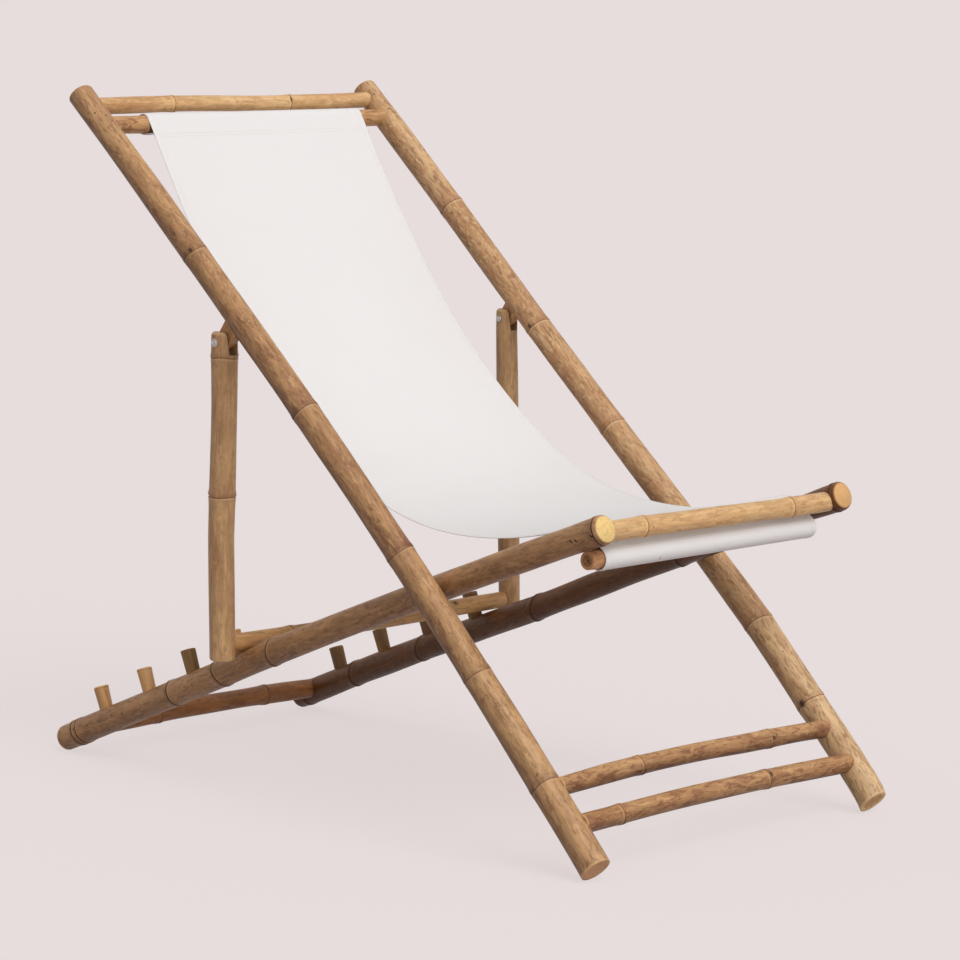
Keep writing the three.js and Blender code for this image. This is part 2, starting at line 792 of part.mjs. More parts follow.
addPiece(baseFrame, 'front_sling_rod', frontSlingRod, bambooPale);
addPiece(backFrame, 'top_rail', topRail, bambooPale);
addPiece(backFrame, 'top_sling_rod', topSlingRod, bambooWarm);
addPiece(backFrame, 'upper_stretcher', upperStretcher, bambooWarm);
addPiece(backFrame, 'lower_stretcher', lowerStretcher, bambooWarm);
addPiece(propFrame, 'prop_crossbar', propCrossbar, bambooDark);
addPiece(chair, 'sling', sling, canvas);

export default chair;
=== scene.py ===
"""Looks of a folding deck chair: bamboo culms, peg rows, forked props and a canvas sling.

Metres, +Z up. The sitter faces -Y; left is -X and right is +X as seen from the front.
"""

import json
import logging
import math
from collections.abc import Callable
from dataclasses import dataclass, field, replace
from enum import Enum

import bmesh
import bpy
import numpy as np
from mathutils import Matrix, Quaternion, Vector


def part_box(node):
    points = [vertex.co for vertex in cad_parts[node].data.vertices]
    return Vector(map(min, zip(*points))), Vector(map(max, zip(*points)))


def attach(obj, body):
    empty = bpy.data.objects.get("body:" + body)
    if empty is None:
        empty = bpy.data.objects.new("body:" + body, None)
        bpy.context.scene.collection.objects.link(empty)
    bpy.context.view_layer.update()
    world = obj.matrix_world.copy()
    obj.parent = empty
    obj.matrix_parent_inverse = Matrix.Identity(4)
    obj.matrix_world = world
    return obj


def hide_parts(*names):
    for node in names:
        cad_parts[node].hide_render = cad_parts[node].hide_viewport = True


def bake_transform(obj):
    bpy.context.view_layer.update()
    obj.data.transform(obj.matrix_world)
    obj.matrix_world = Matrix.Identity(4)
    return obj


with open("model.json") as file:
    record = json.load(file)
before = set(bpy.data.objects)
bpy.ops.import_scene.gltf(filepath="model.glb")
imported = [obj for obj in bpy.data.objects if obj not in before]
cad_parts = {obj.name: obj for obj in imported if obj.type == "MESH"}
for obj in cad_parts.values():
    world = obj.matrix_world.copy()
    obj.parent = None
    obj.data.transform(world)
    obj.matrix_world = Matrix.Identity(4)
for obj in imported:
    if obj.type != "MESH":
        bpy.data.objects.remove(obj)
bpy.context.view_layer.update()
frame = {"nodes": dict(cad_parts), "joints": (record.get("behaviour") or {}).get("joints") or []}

log = logging.getLogger("deck_chair")

Colour = tuple[float, float, float, float]
Array = np.ndarray
Faces = list[tuple[int, ...]]
Shares = tuple[float, ...]
Pairs = tuple[tuple[float, float], ...]
Piece = bpy.types.Object
Mesh = bpy.types.Mesh
Socket = bpy.types.NodeSocket
Sockets = bpy.types.NodeOutputs
Feeds = dict[int | str, object]


def paint(red: int, green: int, blue: int) -> Colour:
    """A display colour, 0 to 255, as the linear colour that a shader takes."""
    shares = (value / 255 for value in (red, green, blue))
    linear = [s / 12.92 if s <= 0.04045 else ((s + 0.055) / 1.055) ** 2.4 for s in shares]
    return (*linear, 1.0)


class Side(Enum):
    """The two sides of the chair, as seen from the front."""

    LEFT = "left"
    RIGHT = "right"

    @property
    def sign(self) -> float:
        """Which way the side lies along X."""
        return -1.0 if self is Side.LEFT else 1.0


# Layout in the side plane


def bow_at(share: Array, bow: float, peak_share: float) -> Array:
    """The sideways offset of a culm's centre line, greatest at the peak's share of its length."""
    warp = math.log(0.5) / math.log(peak_share)
    return bow * np.sin(math.pi * np.clip(share, 0.0, 1.0) ** warp)


@dataclass(frozen=True)
class SideLine:
    """A straight line in the side plane, and the direction that is above it."""

    start: tuple[float, float]
    angle: float
    above_sign: float = 1.0

    @property
    def along(self) -> Array:
        """The line's direction."""
        return np.array([0.0, math.cos(self.angle), math.sin(self.angle)])

    @property
    def above(self) -> Array:
        """The direction square to the line, on its upper side."""
        return self.above_sign * np.array([0.0, -math.sin(self.angle), math.cos(self.angle)])

    def point(self, x: float, distance: float, raised: float = 0.0) -> Array:
        """The point at a distance along the line and above it."""
        return np.array([x, *self.start]) + self.along * distance + self.above * raised


@dataclass(frozen=True)
class Layout:
    """Where the three frames lie, worked out from the joints of the solids."""

    crossing: Array
    prop_pin: Array
    prop_seat: Array
    back_x: float = 0.280
    base_x: float = 0.237
    back_length: float = 1.413
    back_angle: float = math.radians(43.4)
    back_foot_radius: float = 0.0212
    back_top_radius: float = 0.0193
    back_bows: tuple[float, float] = (0.022, 0.016)
    back_peak_shares: tuple[float, float] = (0.44, 0.26)
    crossing_from_foot: float = 0.455
    base_length: float = 1.190
    base_radius: float = 0.0194
    base_tip_radius: float = 0.0186
    base_bow: float = 0.007
    base_peak_share: float = 0.57
    crossing_from_tip: float = 0.312

    def back_bow(self, side: Side) -> tuple[float, float]:
        """The bow of a back pole and the share at which it peaks."""
        index = 0 if side is Side.LEFT else 1
        return self.back_bows[index], self.back_peak_shares[index]

    def back_offset(self, distance: float) -> float:
        """How far the two back poles lie above their line, on average."""
        share = distance / self.back_length
        return float(np.mean([bow_at(share, *self.back_bow(side)) for side in Side]))

    def base_offset(self, distance: float) -> float:
        """How far a base rail lies above its line."""
        return float(bow_at(distance / self.base_length, self.base_bow, self.base_peak_share))

    def rail_radius(self, distance: float) -> float:
        """A base rail's radius, which tapers towards the front."""
        share = distance / self.base_length
        return self.base_radius + (self.base_tip_radius - self.base_radius) * share

    @property
    def back_line(self) -> SideLine:
        """The back poles' line, from their feet up."""
        probe = SideLine((0.0, 0.0), self.back_angle)
        offset = self.back_offset(self.crossing_from_foot)
        start = self.crossing - probe.along * self.crossing_from_foot - probe.above * offset
        return SideLine((float(start[1]), float(start[2])), self.back_angle)

    @property
    def base_lean(self) -> float:
        """How steeply the base rails rise towards the front."""
        from_rear = self.base_length - self.crossing_from_tip
        rise = self.base_offset(from_rear) + self.base_radius
        reach = math.hypot(from_rear, rise)
        return math.asin(self.crossing[2] / reach) - math.atan2(rise, from_rear)

    @property
    def base_line(self) -> SideLine:
        """The base rails' line, from their rear ends forward."""
        lean = self.base_lean
        from_rear = self.base_length - self.crossing_from_tip
        offset = self.base_offset(from_rear)
        start_y = self.crossing[1] + from_rear * math.cos(lean) - offset * math.sin(lean)
        return SideLine((start_y, self.base_radius * math.cos(lean)), math.pi - lean, -1.0)

    @property
    def strut_line(self) -> SideLine:
        """The prop struts' line, from the crossbar up to the hinge pins."""
        rise = self.prop_pin - self.prop_seat
        return SideLine((self.prop_seat[1], self.prop_seat[2]), math.atan2(rise[2], rise[1]))


def read_layout() -> Layout:
    """The layout, from the hinges and the prop crossbar of the solids."""
    places = {joint["name"]: np.array(joint["pos_m"]) for joint in frame["joints"]}
    low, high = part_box("prop_crossbar")
    seat = (np.array(low) + np.array(high)) / 2
    return Layout(places["back_hinge"], places["prop_hinge"], seat)


# Shader graphs


class Graph:
    """Adds nodes to a shader tree and links them."""

    def __init__(self, tree: bpy.types.NodeTree) -> None:
        """Keeps the tree that the nodes go into."""
        self.tree = tree

    @classmethod
    def fresh(cls, owner: bpy.types.ID) -> "Graph":
        """An empty graph for a material or a world."""
        owner.use_nodes = True
        owner.node_tree.nodes.clear()
        return cls(owner.node_tree)

    def add(self, kind: str, **settings: object) -> bpy.types.Node:
        """Adds a node of one kind with its settings."""
        node = self.tree.nodes.new(kind)
        for key, value in settings.items():
            setattr(node, key, value)
        return node

    def feed(self, socket: Socket, value: object) -> None:
        """Links a socket to another, or sets it to a constant."""
        if isinstance(value, Socket):
            self.tree.links.new(value, socket)
        else:
            socket.default_value = value

    def result(self, kind: str, feeds: Feeds, output: int = 0, **settings: object) -> Socket:
        """Adds a node, feeds its inputs by number or name and returns one of its outputs."""
        node = self.add(kind, **settings)
        for key, value in feeds.items():
            self.feed(node.inputs[key], value)
        return node.outputs[output]

    def math(self, operation: str, *values: object) -> Socket:
        """A math node's result."""
        return self.result("ShaderNodeMath", dict(enumerate(values)), operation=operation)

    def times(self, first: object, *others: object) -> Socket:
        """The product of two or more values."""
        for other in others:
            first = self.math("MULTIPLY", first, other)
        return first

    def plus(self, first: object, second: object) -> Socket:
        """The sum of two values."""
        return self.math("ADD", first, second)

    def minus(self, first: object, second: object) -> Socket:
        """The difference of two values."""
        return self.math("SUBTRACT", first, second)

    def mix(self, factor: object, first: object, second: object, blend: str = "MIX") -> Socket:
        """A mix of two colours."""
        feeds = {0: factor, 6: first, 7: second}
        return self.result("ShaderNodeMix", feeds, 2, data_type="RGBA", blend_type=blend, clamp_factor=True)

    def blend(self, factor: object, first: object, second: object) -> Socket:
        """A mix of two plain values."""
        feeds = {0: factor, 2: first, 3: second}
        return self.result("ShaderNodeMix", feeds, data_type="FLOAT", clamp_factor=True)

    def tint(self, colour: object, by: object) -> Socket:
        """A colour multiplied by another."""
        return self.mix(1.0, colour, by, "MULTIPLY")

    def shade(self, colour: object, value: Socket) -> Socket:
        """A colour darkened by a value."""
        return self.tint(colour, self.result("ShaderNodeCombineColor", {0: value, 1: value, 2: value}))

    def stretch(self, grain: Socket, across: float, along: float) -> Socket:
        """The grain vector scaled by one factor across the fibres and another along them."""
        feeds = {0: grain, 1: (across, across, along)}
        return self.result("ShaderNodeVectorMath", feeds, operation="MULTIPLY")

    def noise(
        self, grain: Socket, across: float, along: float, detail: float = 2.0, distortion: float = 0.0
    ) -> Socket:
        """A cloud noise, with so many cells to the metre across the fibres and along them."""
        feeds = {"Vector": self.stretch(grain, across, along), "Scale": 1.0, "Detail": detail}
        feeds["Distortion"] = distortion
        return self.result("ShaderNodeTexNoise", feeds, noise_dimensions="3D")

    def cells(self, grain: Socket, across: float, along: float) -> tuple[Socket, Socket]:
        """The distance to the nearest of scattered points, and that point's random colour."""
        node = self.add("ShaderNodeTexVoronoi", voronoi_dimensions="3D", feature="F1")
        self.feed(node.inputs["Vector"], self.stretch(grain, across, along))
        node.inputs["Scale"].default_value = 1.0
        return node.outputs["Distance"], node.outputs["Color"]

    def ramp(self, value: object, low: float, high: float, top: float = 1.0) -> Socket:
        """A soft step from 0 below the low value to the top above the high one."""
        feeds = {0: value, 1: low, 2: high, 3: 0.0, 4: top}
        return self.result("ShaderNodeMapRange", feeds, interpolation_type="SMOOTHSTEP", clamp=True)

    def within(self, value: Socket, core: object, edge: object) -> Socket:
        """1 up to the core value, falling to 0 at the edge value."""
        return self.minus(1.0, self.ramp(value, core, edge))

    def band(self, value: Socket, centre: float, core: float, edge: float) -> Socket:
        """1 near the centre value, falling to 0 at the edge distance from it."""
        return self.within(self.math("ABSOLUTE", self.minus(value, centre)), core, edge)

    def attribute(self, name: str, output: str = "Fac") -> Socket:
        """A value that the mesh holds at each point."""
        return self.add("ShaderNodeAttribute", attribute_name=name).outputs[output]

    def bump(self, height: Socket, depth: float, strength: float = 0.5) -> Socket:
        """A normal from a height in shares of a depth in metres."""
        return self.result("ShaderNodeBump", {"Distance": depth, "Strength": strength, "Height": height})

    def either(self, factor: object, first: Socket, second: Socket) -> Socket:
        """A mix of two shaders."""
        return self.result("ShaderNodeMixShader", {0: factor, 1: first, 2: second})

    def show(self, kind: str, shader: Socket) -> None:
        """Gives the graph's shader to its output."""
        self.feed(self.add(kind).inputs["Surface"], shader)


class Kind(Enum):
    """The kinds of socket that the finishes' groups have."""

    VALUE = "NodeSocketFloat"
    COLOUR = "NodeSocketColor"
    VECTOR = "NodeSocketVector"


class Effect:
    """A shader group that several materials share, with named inputs and outputs."""

    name: str = ""
    vector: str = "Grain"
    values: tuple[str, ...] = ()
    colours: tuple[str, ...] = ()
    outputs: tuple[str, ...] = ("Color", "Roughness", "Height")

    def inputs(self) -> dict[str, Kind]:
        """The group's inputs and their kinds."""
        kinds = {Kind.VECTOR: (self.vector,), Kind.VALUE: self.values, Kind.COLOUR: self.colours}
        return {label: kind for kind, labels in kinds.items() for label in labels}

    def tree(self) -> bpy.types.NodeTree:
        """The group's tree, built the first time it is asked for."""
        found = bpy.data.node_groups.get(self.name)
        if found:
            return found
        made = bpy.data.node_groups.new(self.name, "ShaderNodeTree")
        for label, kind in self.inputs().items():
            made.interface.new_socket(name=label, in_out="INPUT", socket_type=kind.value)
        for label in self.outputs:
            kind = Kind.COLOUR if label == "Color" else Kind.VALUE
            made.interface.new_socket(name=label, in_out="OUTPUT", socket_type=kind.value)
        graph = Graph(made)
        results = self.draw(graph, graph.add("NodeGroupInput").outputs)
        given = graph.add("NodeGroupOutput")
        for label, value in zip(self.outputs, results):
            graph.feed(given.inputs[label], value)
        return made

    def draw(self, graph: Graph, taken: Sockets) -> tuple[Socket, ...]:
        """Builds the group's nodes and returns its results, in the order of its outputs."""
        raise NotImplementedError

    def place(self, graph: Graph, finish: object, **given: object) -> Sockets:
        """Puts the group into a material.

        Args:
            graph: The material's graph.
            finish: The finish, whose values feed the inputs of the same names.
            **given: Values for other inputs, with _ for each space. Inputs still left take
                what the mesh holds under their name.

        Returns:
            The group node's outputs.
        """
        node = graph.add("ShaderNodeGroup", node_tree=self.tree())
        for label, kind in self.inputs().items():
            key = label.lower().replace(" ", "_")
            if key in given:
                value = given[key]
            elif hasattr(finish, key):
                value = getattr(finish, key)
            else:
                value = graph.attribute(key, "Vector" if kind is Kind.VECTOR else "Fac")
            graph.feed(node.inputs[label], value)
        return node.outputs


class BambooSkin(Effect):
    """The culm's outer skin: internode tones, fibres, streaks, stains, node lines and a painted shade on its
    underside.
    """

    name = "Bamboo skin"
    values = (
        "Node gap", "Tone", "Stain mask", "Scar mask", "Ring mask", "Under mask", "Ring width", "Lip",
        "Streaks", "Mottle", "Gloss roughness",
    )
    colours = ("Base", "Deep", "Pale", "Stain", "Ring")

    def draw(self, graph: Graph, taken: Sockets) -> tuple[Socket, ...]:
        """Builds the skin's nodes."""
        grain = taken["Grain"]
        drift = graph.noise(grain, 24.0, 5.5, 3.0, 0.6)
        tone = graph.plus(graph.times(drift, 0.8), taken["Tone"])
        colour = graph.mix(graph.ramp(tone, 0.38, 0.82), taken["Base"], taken["Deep"])
        light = graph.minus(1.0, tone)
        colour = graph.mix(graph.ramp(light, 0.52, 0.95, 0.75), colour, taken["Pale"])

        fibre = graph.noise(grain, 700.0, 22.0, 3.0)
        coarse = graph.noise(grain, 210.0, 15.0, 3.0, 0.6)
        for strand, depth in ((fibre, 0.16), (coarse, 0.26)):
            colour = graph.shade(colour, graph.plus(graph.ramp(strand, 0.30, 0.70, depth), 1.0 - depth / 2))

        ruddy = graph.noise(grain, 58.0, 17.0, 5.0, 1.4)
        ruddied = graph.times(graph.ramp(ruddy, 0.48, 0.66), taken["Mottle"])
        colour = graph.mix(graph.times(ruddied, 0.62), colour, taken["Stain"])
        mottle = graph.noise(grain, 150.0, 46.0, 4.0, 1.2)
        mottled = graph.times(graph.ramp(mottle, 0.50, 0.64), taken["Mottle"])
        colour = graph.mix(graph.times(mottled, 0.80), colour, taken["Deep"])
        bleach = graph.noise(grain, 90.0, 30.0, 4.0, 1.6)
        bleached = graph.times(graph.ramp(bleach, 0.54, 0.70), taken["Mottle"])
        colour = graph.mix(graph.times(bleached, 0.80), colour, taken["Pale"])
        streaked = self.streaks(graph, grain, taken["Streaks"])
        colour = graph.mix(streaked, colour, graph.tint(taken["Deep"], paint(214, 200, 186)))
        fleck = graph.noise(grain, 330.0, 85.0, 2.0, 0.6)
        flecked = graph.times(graph.ramp(fleck, 0.58, 0.70), taken["Streaks"])
        colour = graph.mix(graph.times(flecked, 0.85), colour, taken["Pale"])

        blotch = graph.noise(grain, 62.0, 24.0, 3.0, 1.2)
        soaked = graph.times(taken["Stain mask"], graph.ramp(blotch, 0.30, 0.62), 0.9)
        colour = graph.mix(soaked, colour, taken["Stain"])
        near, spot = graph.cells(grain, 85.0, 40.0)
        chosen = graph.ramp(graph.result("ShaderNodeSeparateColor", {0: spot}), 0.86, 0.88)
        pit = graph.times(chosen, graph.within(near, 0.04, 0.10))
        colour = graph.mix(graph.times(pit, 0.75), colour, paint(74, 46, 28))

        colour, line = self.rings(graph, colour, taken)
        # Painted shade: the culm's underside is drawn darker, in loose patches, standing for the shade that
        # falls there.
        patchy = graph.times(taken["Under mask"], graph.ramp(ruddy, 0.20, 0.60, 0.5))
        lowered = graph.plus(graph.times(taken["Under mask"], 0.75), patchy)
        colour = graph.mix(lowered, colour, graph.tint(colour, paint(110, 80, 60)))
        colour = graph.mix(taken["Scar mask"], colour, paint(58, 36, 24))
        rough = graph.plus(taken["Gloss roughness"], graph.ramp(coarse, 0.3, 0.8, 0.12))
        rough = graph.plus(rough, graph.times(mottled, 0.10))
        rough = graph.plus(rough, graph.times(line, 0.25))
        height = graph.plus(graph.times(fibre, 0.35), graph.times(coarse, 0.45))
        height = graph.minus(height, graph.times(streaked, 0.25))
        return colour, rough, graph.minus(height, pit)

    @staticmethod
    def streaks(graph: Graph, grain: Socket, amount: Socket) -> Socket:
        """Short dark streaks along the fibres, in loose groups."""
        group = graph.ramp(graph.noise(grain, 26.0, 12.0, 3.0, 0.8), 0.42, 0.66)
        streak = graph.ramp(graph.noise(grain, 340.0, 90.0, 3.0, 1.1), 0.54, 0.68)
        return graph.times(group, streak, 0.7, amount)

    @staticmethod
    def rings(graph: Graph, colour: Socket, taken: Sockets) -> tuple[Socket, Socket]:
        """A dark line on each node's ring, a pale lip beside it and a darker zone past it.

        Args:
            graph: The group's graph.
            colour: The skin's colour so far.
            taken: The group's inputs.

        Returns:
            The colour with the rings on it, and the line's mask.
        """
        gap, mask = taken["Node gap"], taken["Ring mask"]
        wobble = graph.noise(taken["Grain"], 150.0, 150.0)
        core = graph.times(taken["Ring width"], 0.4)
        line = graph.within(graph.math("ABSOLUTE", gap), core, taken["Ring width"])
        line = graph.times(line, graph.ramp(wobble, 0.05, 0.40), mask)
        lip = graph.times(graph.band(gap, -0.0026, 0.0007, 0.0022), taken["Lip"], mask)
        shadow = graph.band(gap, 0.0022, 0.0010, 0.0095)
        shadow = graph.times(shadow, graph.ramp(wobble, 0.2, 0.75, 0.45), mask)
        colour = graph.mix(shadow, colour, taken["Deep"])
        colour = graph.mix(lip, colour, taken["Pale"])
        return graph.mix(graph.times(line, 0.92), colour, taken["Ring"]), line


class SawnEnd(Effect):
    """A sawn face of bamboo: a rim of fibre ends, with dots, round a softer middle."""

    name = "Sawn bamboo end"
    values = ("Wall share",)
    colours = ("Wall", "Middle", "Dots")
    outputs = ("Color", "Height")

    def draw(self, graph: Graph, taken: Sockets) -> tuple[Socket, ...]:
        """Builds the sawn face's nodes."""
        grain = taken["Grain"]
        ragged = graph.noise(grain, 230.0, 230.0, 3.0, 0.6)
        edge = graph.plus(taken["Wall share"], graph.times(ragged, 0.9))
        colour = graph.mix(graph.ramp(edge, 0.35, 0.65), taken["Middle"], taken["Wall"])
        cloud = graph.noise(grain, 120.0, 120.0, 3.0, 0.5)
        colour = graph.mix(graph.ramp(cloud, 0.45, 0.75, 0.45), colour, taken["Dots"])
        near, _ = graph.cells(grain, 900.0, 60.0)
        dots = graph.times(graph.within(near, 0.10, 0.36), 0.5)
        colour = graph.mix(dots, colour, taken["Dots"])
        saw = graph.noise(grain, 620.0, 620.0, 3.0)
        colour = graph.shade(colour, graph.plus(graph.ramp(saw, 0.25, 0.75, 0.26), 0.86))
        return colour, graph.minus(saw, dots)


class Handling(Effect):
    """What use leaves on a surface: rubbed edges and a film of dust in patches."""

    name = "Handling and dust"
    values = ("Wear mask", "Grime amount")
    colours = ("Color", "Worn", "Grime")
    outputs = ("Color",)

    def draw(self, graph: Graph, taken: Sockets) -> tuple[Socket, ...]:
        """Builds the wear and the grime."""
        patch = graph.noise(taken["Grain"], 180.0, 120.0, 4.0, 0.6)
        worn = graph.ramp(graph.plus(taken["Wear mask"], graph.times(patch, 0.6)), 0.85, 1.15)
        smear = graph.noise(taken["Grain"], 34.0, 16.0, 4.0, 1.0)
        dirty = graph.times(graph.ramp(smear, 0.48, 0.75), taken["Grime amount"])
        colour = graph.mix(dirty, taken["Color"], taken["Grime"])
        return (graph.mix(graph.times(worn, 0.6), colour, taken["Worn"]),)


class CanvasWeave(Effect):
    """A plain weave of thick cotton yarn, with slubs and faint soiling."""

    name = "Canvas weave"
    vector = "Cloth"
    values = ("Thread pitch", "Seam mask")
    colours = ("Yarn", "Soil")

    def draw(self, graph: Graph, taken: Sockets) -> tuple[Socket, ...]:
        """Builds the weave's nodes."""
        cloth = taken["Cloth"]
        split = graph.add("ShaderNodeSeparateXYZ")
        graph.feed(split.inputs[0], cloth)
        jitter = graph.times(graph.noise(cloth, 55.0, 55.0), 0.0016)
        turns = graph.math("DIVIDE", math.pi, taken["Thread pitch"])
        angles = [graph.times(graph.plus(output, jitter), turns) for output in split.outputs[:2]]
        across, along = (graph.math("ABSOLUTE", graph.math("SINE", angle)) for angle in angles)
        turn = graph.plus(*(graph.times(angle, 0.5) for angle in angles))
        over = graph.ramp(graph.math("SINE", turn), -0.3, 0.3)
        weave = graph.blend(over, across, along)
        slub = graph.ramp(graph.noise(cloth, 900.0, 60.0), 0.55, 0.75)
        colour = graph.shade(taken["Yarn"], graph.plus(graph.times(weave, 0.07), 0.945))
        soil = graph.noise(cloth, 5.0, 5.0, 4.0, 0.8)
        colour = graph.mix(graph.ramp(soil, 0.45, 0.8, 0.35), colour, taken["Soil"])
        colour = graph.mix(graph.times(taken["Seam mask"], 0.06), colour, taken["Soil"])
        rough = graph.plus(graph.times(weave, -0.08), 0.92)
        return colour, rough, graph.plus(weave, graph.times(slub, 0.5))


class WoodGrain(Effect):
    """Sawn hardwood: year rings, pores and a rubbed tone."""

    name = "Hardwood grain"
    colours = ("Light", "Dark")

    def draw(self, graph: Graph, taken: Sockets) -> tuple[Socket, ...]:
        """Builds the wood's nodes."""
        grain = taken["Grain"]
        rings = graph.noise(grain, 320.0, 24.0, 3.0, 1.5)
        pores = graph.noise(grain, 1600.0, 110.0)
        cloud = graph.noise(grain, 60.0, 40.0, 3.0)
        colour = graph.mix(graph.ramp(rings, 0.35, 0.65), taken["Light"], taken["Dark"])
        colour = graph.mix(graph.ramp(cloud, 0.4, 0.75, 0.5), colour, taken["Dark"])
        colour = graph.mix(graph.ramp(pores, 0.60, 0.72, 0.7), colour, paint(58, 36, 20))
        return colour, graph.plus(graph.times(pores, 0.2), 0.42), graph.times(pores, -1.0)


class SteelSkin(Effect):
    """Plain steel that has been handled: fine scratches and brown rust in patches."""

    name = "Handled steel"
    values = ("Rust amount",)
    colours = ("Bright", "Rust")
    outputs = ("Color", "Metallic", "Roughness", "Height")

    def draw(self, graph: Graph, taken: Sockets) -> tuple[Socket, ...]:
        """Builds the steel's nodes."""
        grain = taken["Grain"]
        patch = graph.noise(grain, 520.0, 520.0, 4.0, 0.4)
        rusty = graph.times(graph.ramp(patch, 0.42, 0.60), taken["Rust amount"])
        scratch = graph.noise(grain, 300.0, 2600.0)
        metallic = graph.minus(1.0, graph.times(rusty, 0.85))
        rough = graph.plus(0.26, graph.ramp(scratch, 0.3, 0.7, 0.14))
        rough = graph.plus(rough, graph.times(rusty, 0.4))
        height = graph.plus(graph.times(patch, 0.5), scratch)
        return graph.mix(rusty, taken["Bright"], taken["Rust"]), metallic, rough, height


# Finishes


@dataclass(frozen=True)
class Finish:
    """How one kind of surface looks, and the record's slot that it belongs to."""

    name: str
    slot: str

    def material(self) -> bpy.types.Material:
        """The finish's material, built the first time it is asked for."""
        found = bpy.data.materials.get(self.name)
        if found:
            return found
        material = bpy.data.materials.new(self.name)
        graph = Graph.fresh(material)
        graph.show("ShaderNodeOutputMaterial", graph.result("ShaderNodeBsdfPrincipled", self.looks(graph)))
        return material

    def looks(self, graph: Graph) -> dict[str, object]:
        """What feeds the inputs of the Principled BSDF."""
        raise NotImplementedError


@dataclass(frozen=True)
class BambooFinish(Finish):
    """How one kind of bamboo on the chair looks."""

    base: Colour
    deep: Colour
    pale: Colour
    stain: Colour
    ring: Colour = paint(120, 80, 50)
    ring_width: float = 0.0013
    lip: float = 0.45
    wall: Colour = paint(226, 190, 136)
    middle: Colour = paint(165, 125, 85)
    dots: Colour = paint(150, 106, 66)
    streaks: float = 0.5
    mottle: float = 0.5
    grime_amount: float = 0.25
    gloss_roughness: float = 0.46
    sawn_roughness: float = 0.72
    lacquer: float = 0.08
    lacquer_roughness: float = 0.25
    shine: float = 0.30
    relief: float = 0.0005

    def looks(self, graph: Graph) -> dict[str, object]:
        """Skin on the outside, a sawn face where the culm is cut."""
        cut = graph.attribute("cut")
        skin = BambooSkin().place(graph, self)
        sawn = SawnEnd().place(graph, self)
        used = Handling().place(graph, self, color=skin["Color"], worn=self.pale, grime=self.deep)
        return {
            "Base Color": graph.mix(cut, used["Color"], sawn["Color"]),
            "Roughness": graph.blend(cut, skin["Roughness"], self.sawn_roughness),
            "Coat Weight": graph.times(graph.minus(1.0, cut), self.lacquer),
            "Coat Roughness": self.lacquer_roughness,
            "Specular IOR Level": self.shine,
            "Normal": graph.bump(graph.blend(cut, skin["Height"], sawn["Height"]), self.relief),
        }


@dataclass(frozen=True)
class CanvasFinish(Finish):
    """How the sling's canvas and its thread look."""

    yarn: Colour
    soil: Colour
    thread_pitch: float
    relief: float = 0.00035

    def looks(self, graph: Graph) -> dict[str, object]:
        """Matt cotton with a little sheen."""
        weave = CanvasWeave().place(graph, self)
        return {
            "Base Color": weave["Color"],
            "Roughness": weave["Roughness"],
            "Sheen Weight": 0.20,
            "Sheen Roughness": 0.5,
            "Specular IOR Level": 0.2,
            "Normal": graph.bump(weave["Height"], self.relief),
        }


@dataclass(frozen=True)
class HardwoodFinish(Finish):
    """How the sawn hardwood pieces look."""

    light: Colour
    dark: Colour
    grime_amount: float = 0.4
    relief: float = 0.0004

    def looks(self, graph: Graph) -> dict[str, object]:
        """Bare wood with rubbed edges."""
        wood = WoodGrain().place(graph, self)
        used = Handling().place(graph, self, color=wood["Color"], worn=self.light, grime=self.dark)
        return {
            "Base Color": used["Color"],
            "Roughness": wood["Roughness"],
            "Normal": graph.bump(wood["Height"], self.relief),
        }


@dataclass(frozen=True)
class SteelFinish(Finish):
    """How the pins and the nails look."""

    bright: Colour
    rust: Colour
    rust_amount: float
    relief: float = 0.0002

    def looks(self, graph: Graph) -> dict[str, object]:
        """Metal where it is bright, dull where it rusts."""
        place = graph.add("ShaderNodeTexCoord").outputs["Object"]
        steel = SteelSkin().place(graph, self, grain=place)
        return {
            "Base Color": steel["Color"],
            "Metallic": steel["Metallic"],
            "Roughness": steel["Roughness"],
            "Normal": graph.bump(steel["Height"], self.relief, 0.4),
        }


def tones(*shades: tuple[int, int, int]) -> dict[str, Colour]:
    """The base, deep, pale and stain colour of a bamboo, or the first of them."""
    return {name: paint(*shade) for name, shade in zip(("base", "deep", "pale", "stain"), shades)}


WARM_CULM = BambooFinish(
    "warm_culm", "bamboo_culm", **tones((184, 140, 96), (108, 66, 40), (208, 166, 118), (112, 66, 46)),
    ring=paint(132, 90, 62), ring_width=0.0009, middle=paint(206, 158, 120), streaks=0.8,
)
FAR_CULM = replace(
    WARM_CULM, name="far_culm", **tones((190, 147, 104), (138, 94, 58), (220, 186, 140), (164, 112, 78)),
    wall=paint(228, 194, 142), middle=paint(196, 156, 112), dots=paint(176, 134, 92), streaks=0.9,
    mottle=0.75,
)
# strut_culm: its own tones, partly set lighter than warm_culm's as painted light against the sling's shade
# on the struts.
STRUT_CULM = replace(
    WARM_CULM, name="strut_culm", **tones((184, 143, 99), (142, 102, 66), (212, 174, 126), (140, 96, 66)),
    streaks=0.35, mottle=0.45, lacquer=0.15,
)
NEAR_RAIL = BambooFinish(
    "near_rail_culm", "bamboo_culm", **tones((170, 126, 82), (122, 86, 56), (204, 158, 112), (132, 92, 66)),
    ring=paint(66, 40, 24), ring_width=0.0019, lip=0.35, wall=paint(240, 208, 142),
    middle=paint(236, 202, 134), dots=paint(214, 172, 108), streaks=0.5, mottle=0.7,
    gloss_roughness=0.42, lacquer=0.06,
)
FAR_RAIL = replace(
    NEAR_RAIL, name="far_rail_culm", **tones((112, 68, 24), (80, 45, 15), (142, 94, 46), (94, 50, 24)),
    wall=paint(208, 154, 100), middle=paint(216, 168, 112), lacquer=0.03,
)
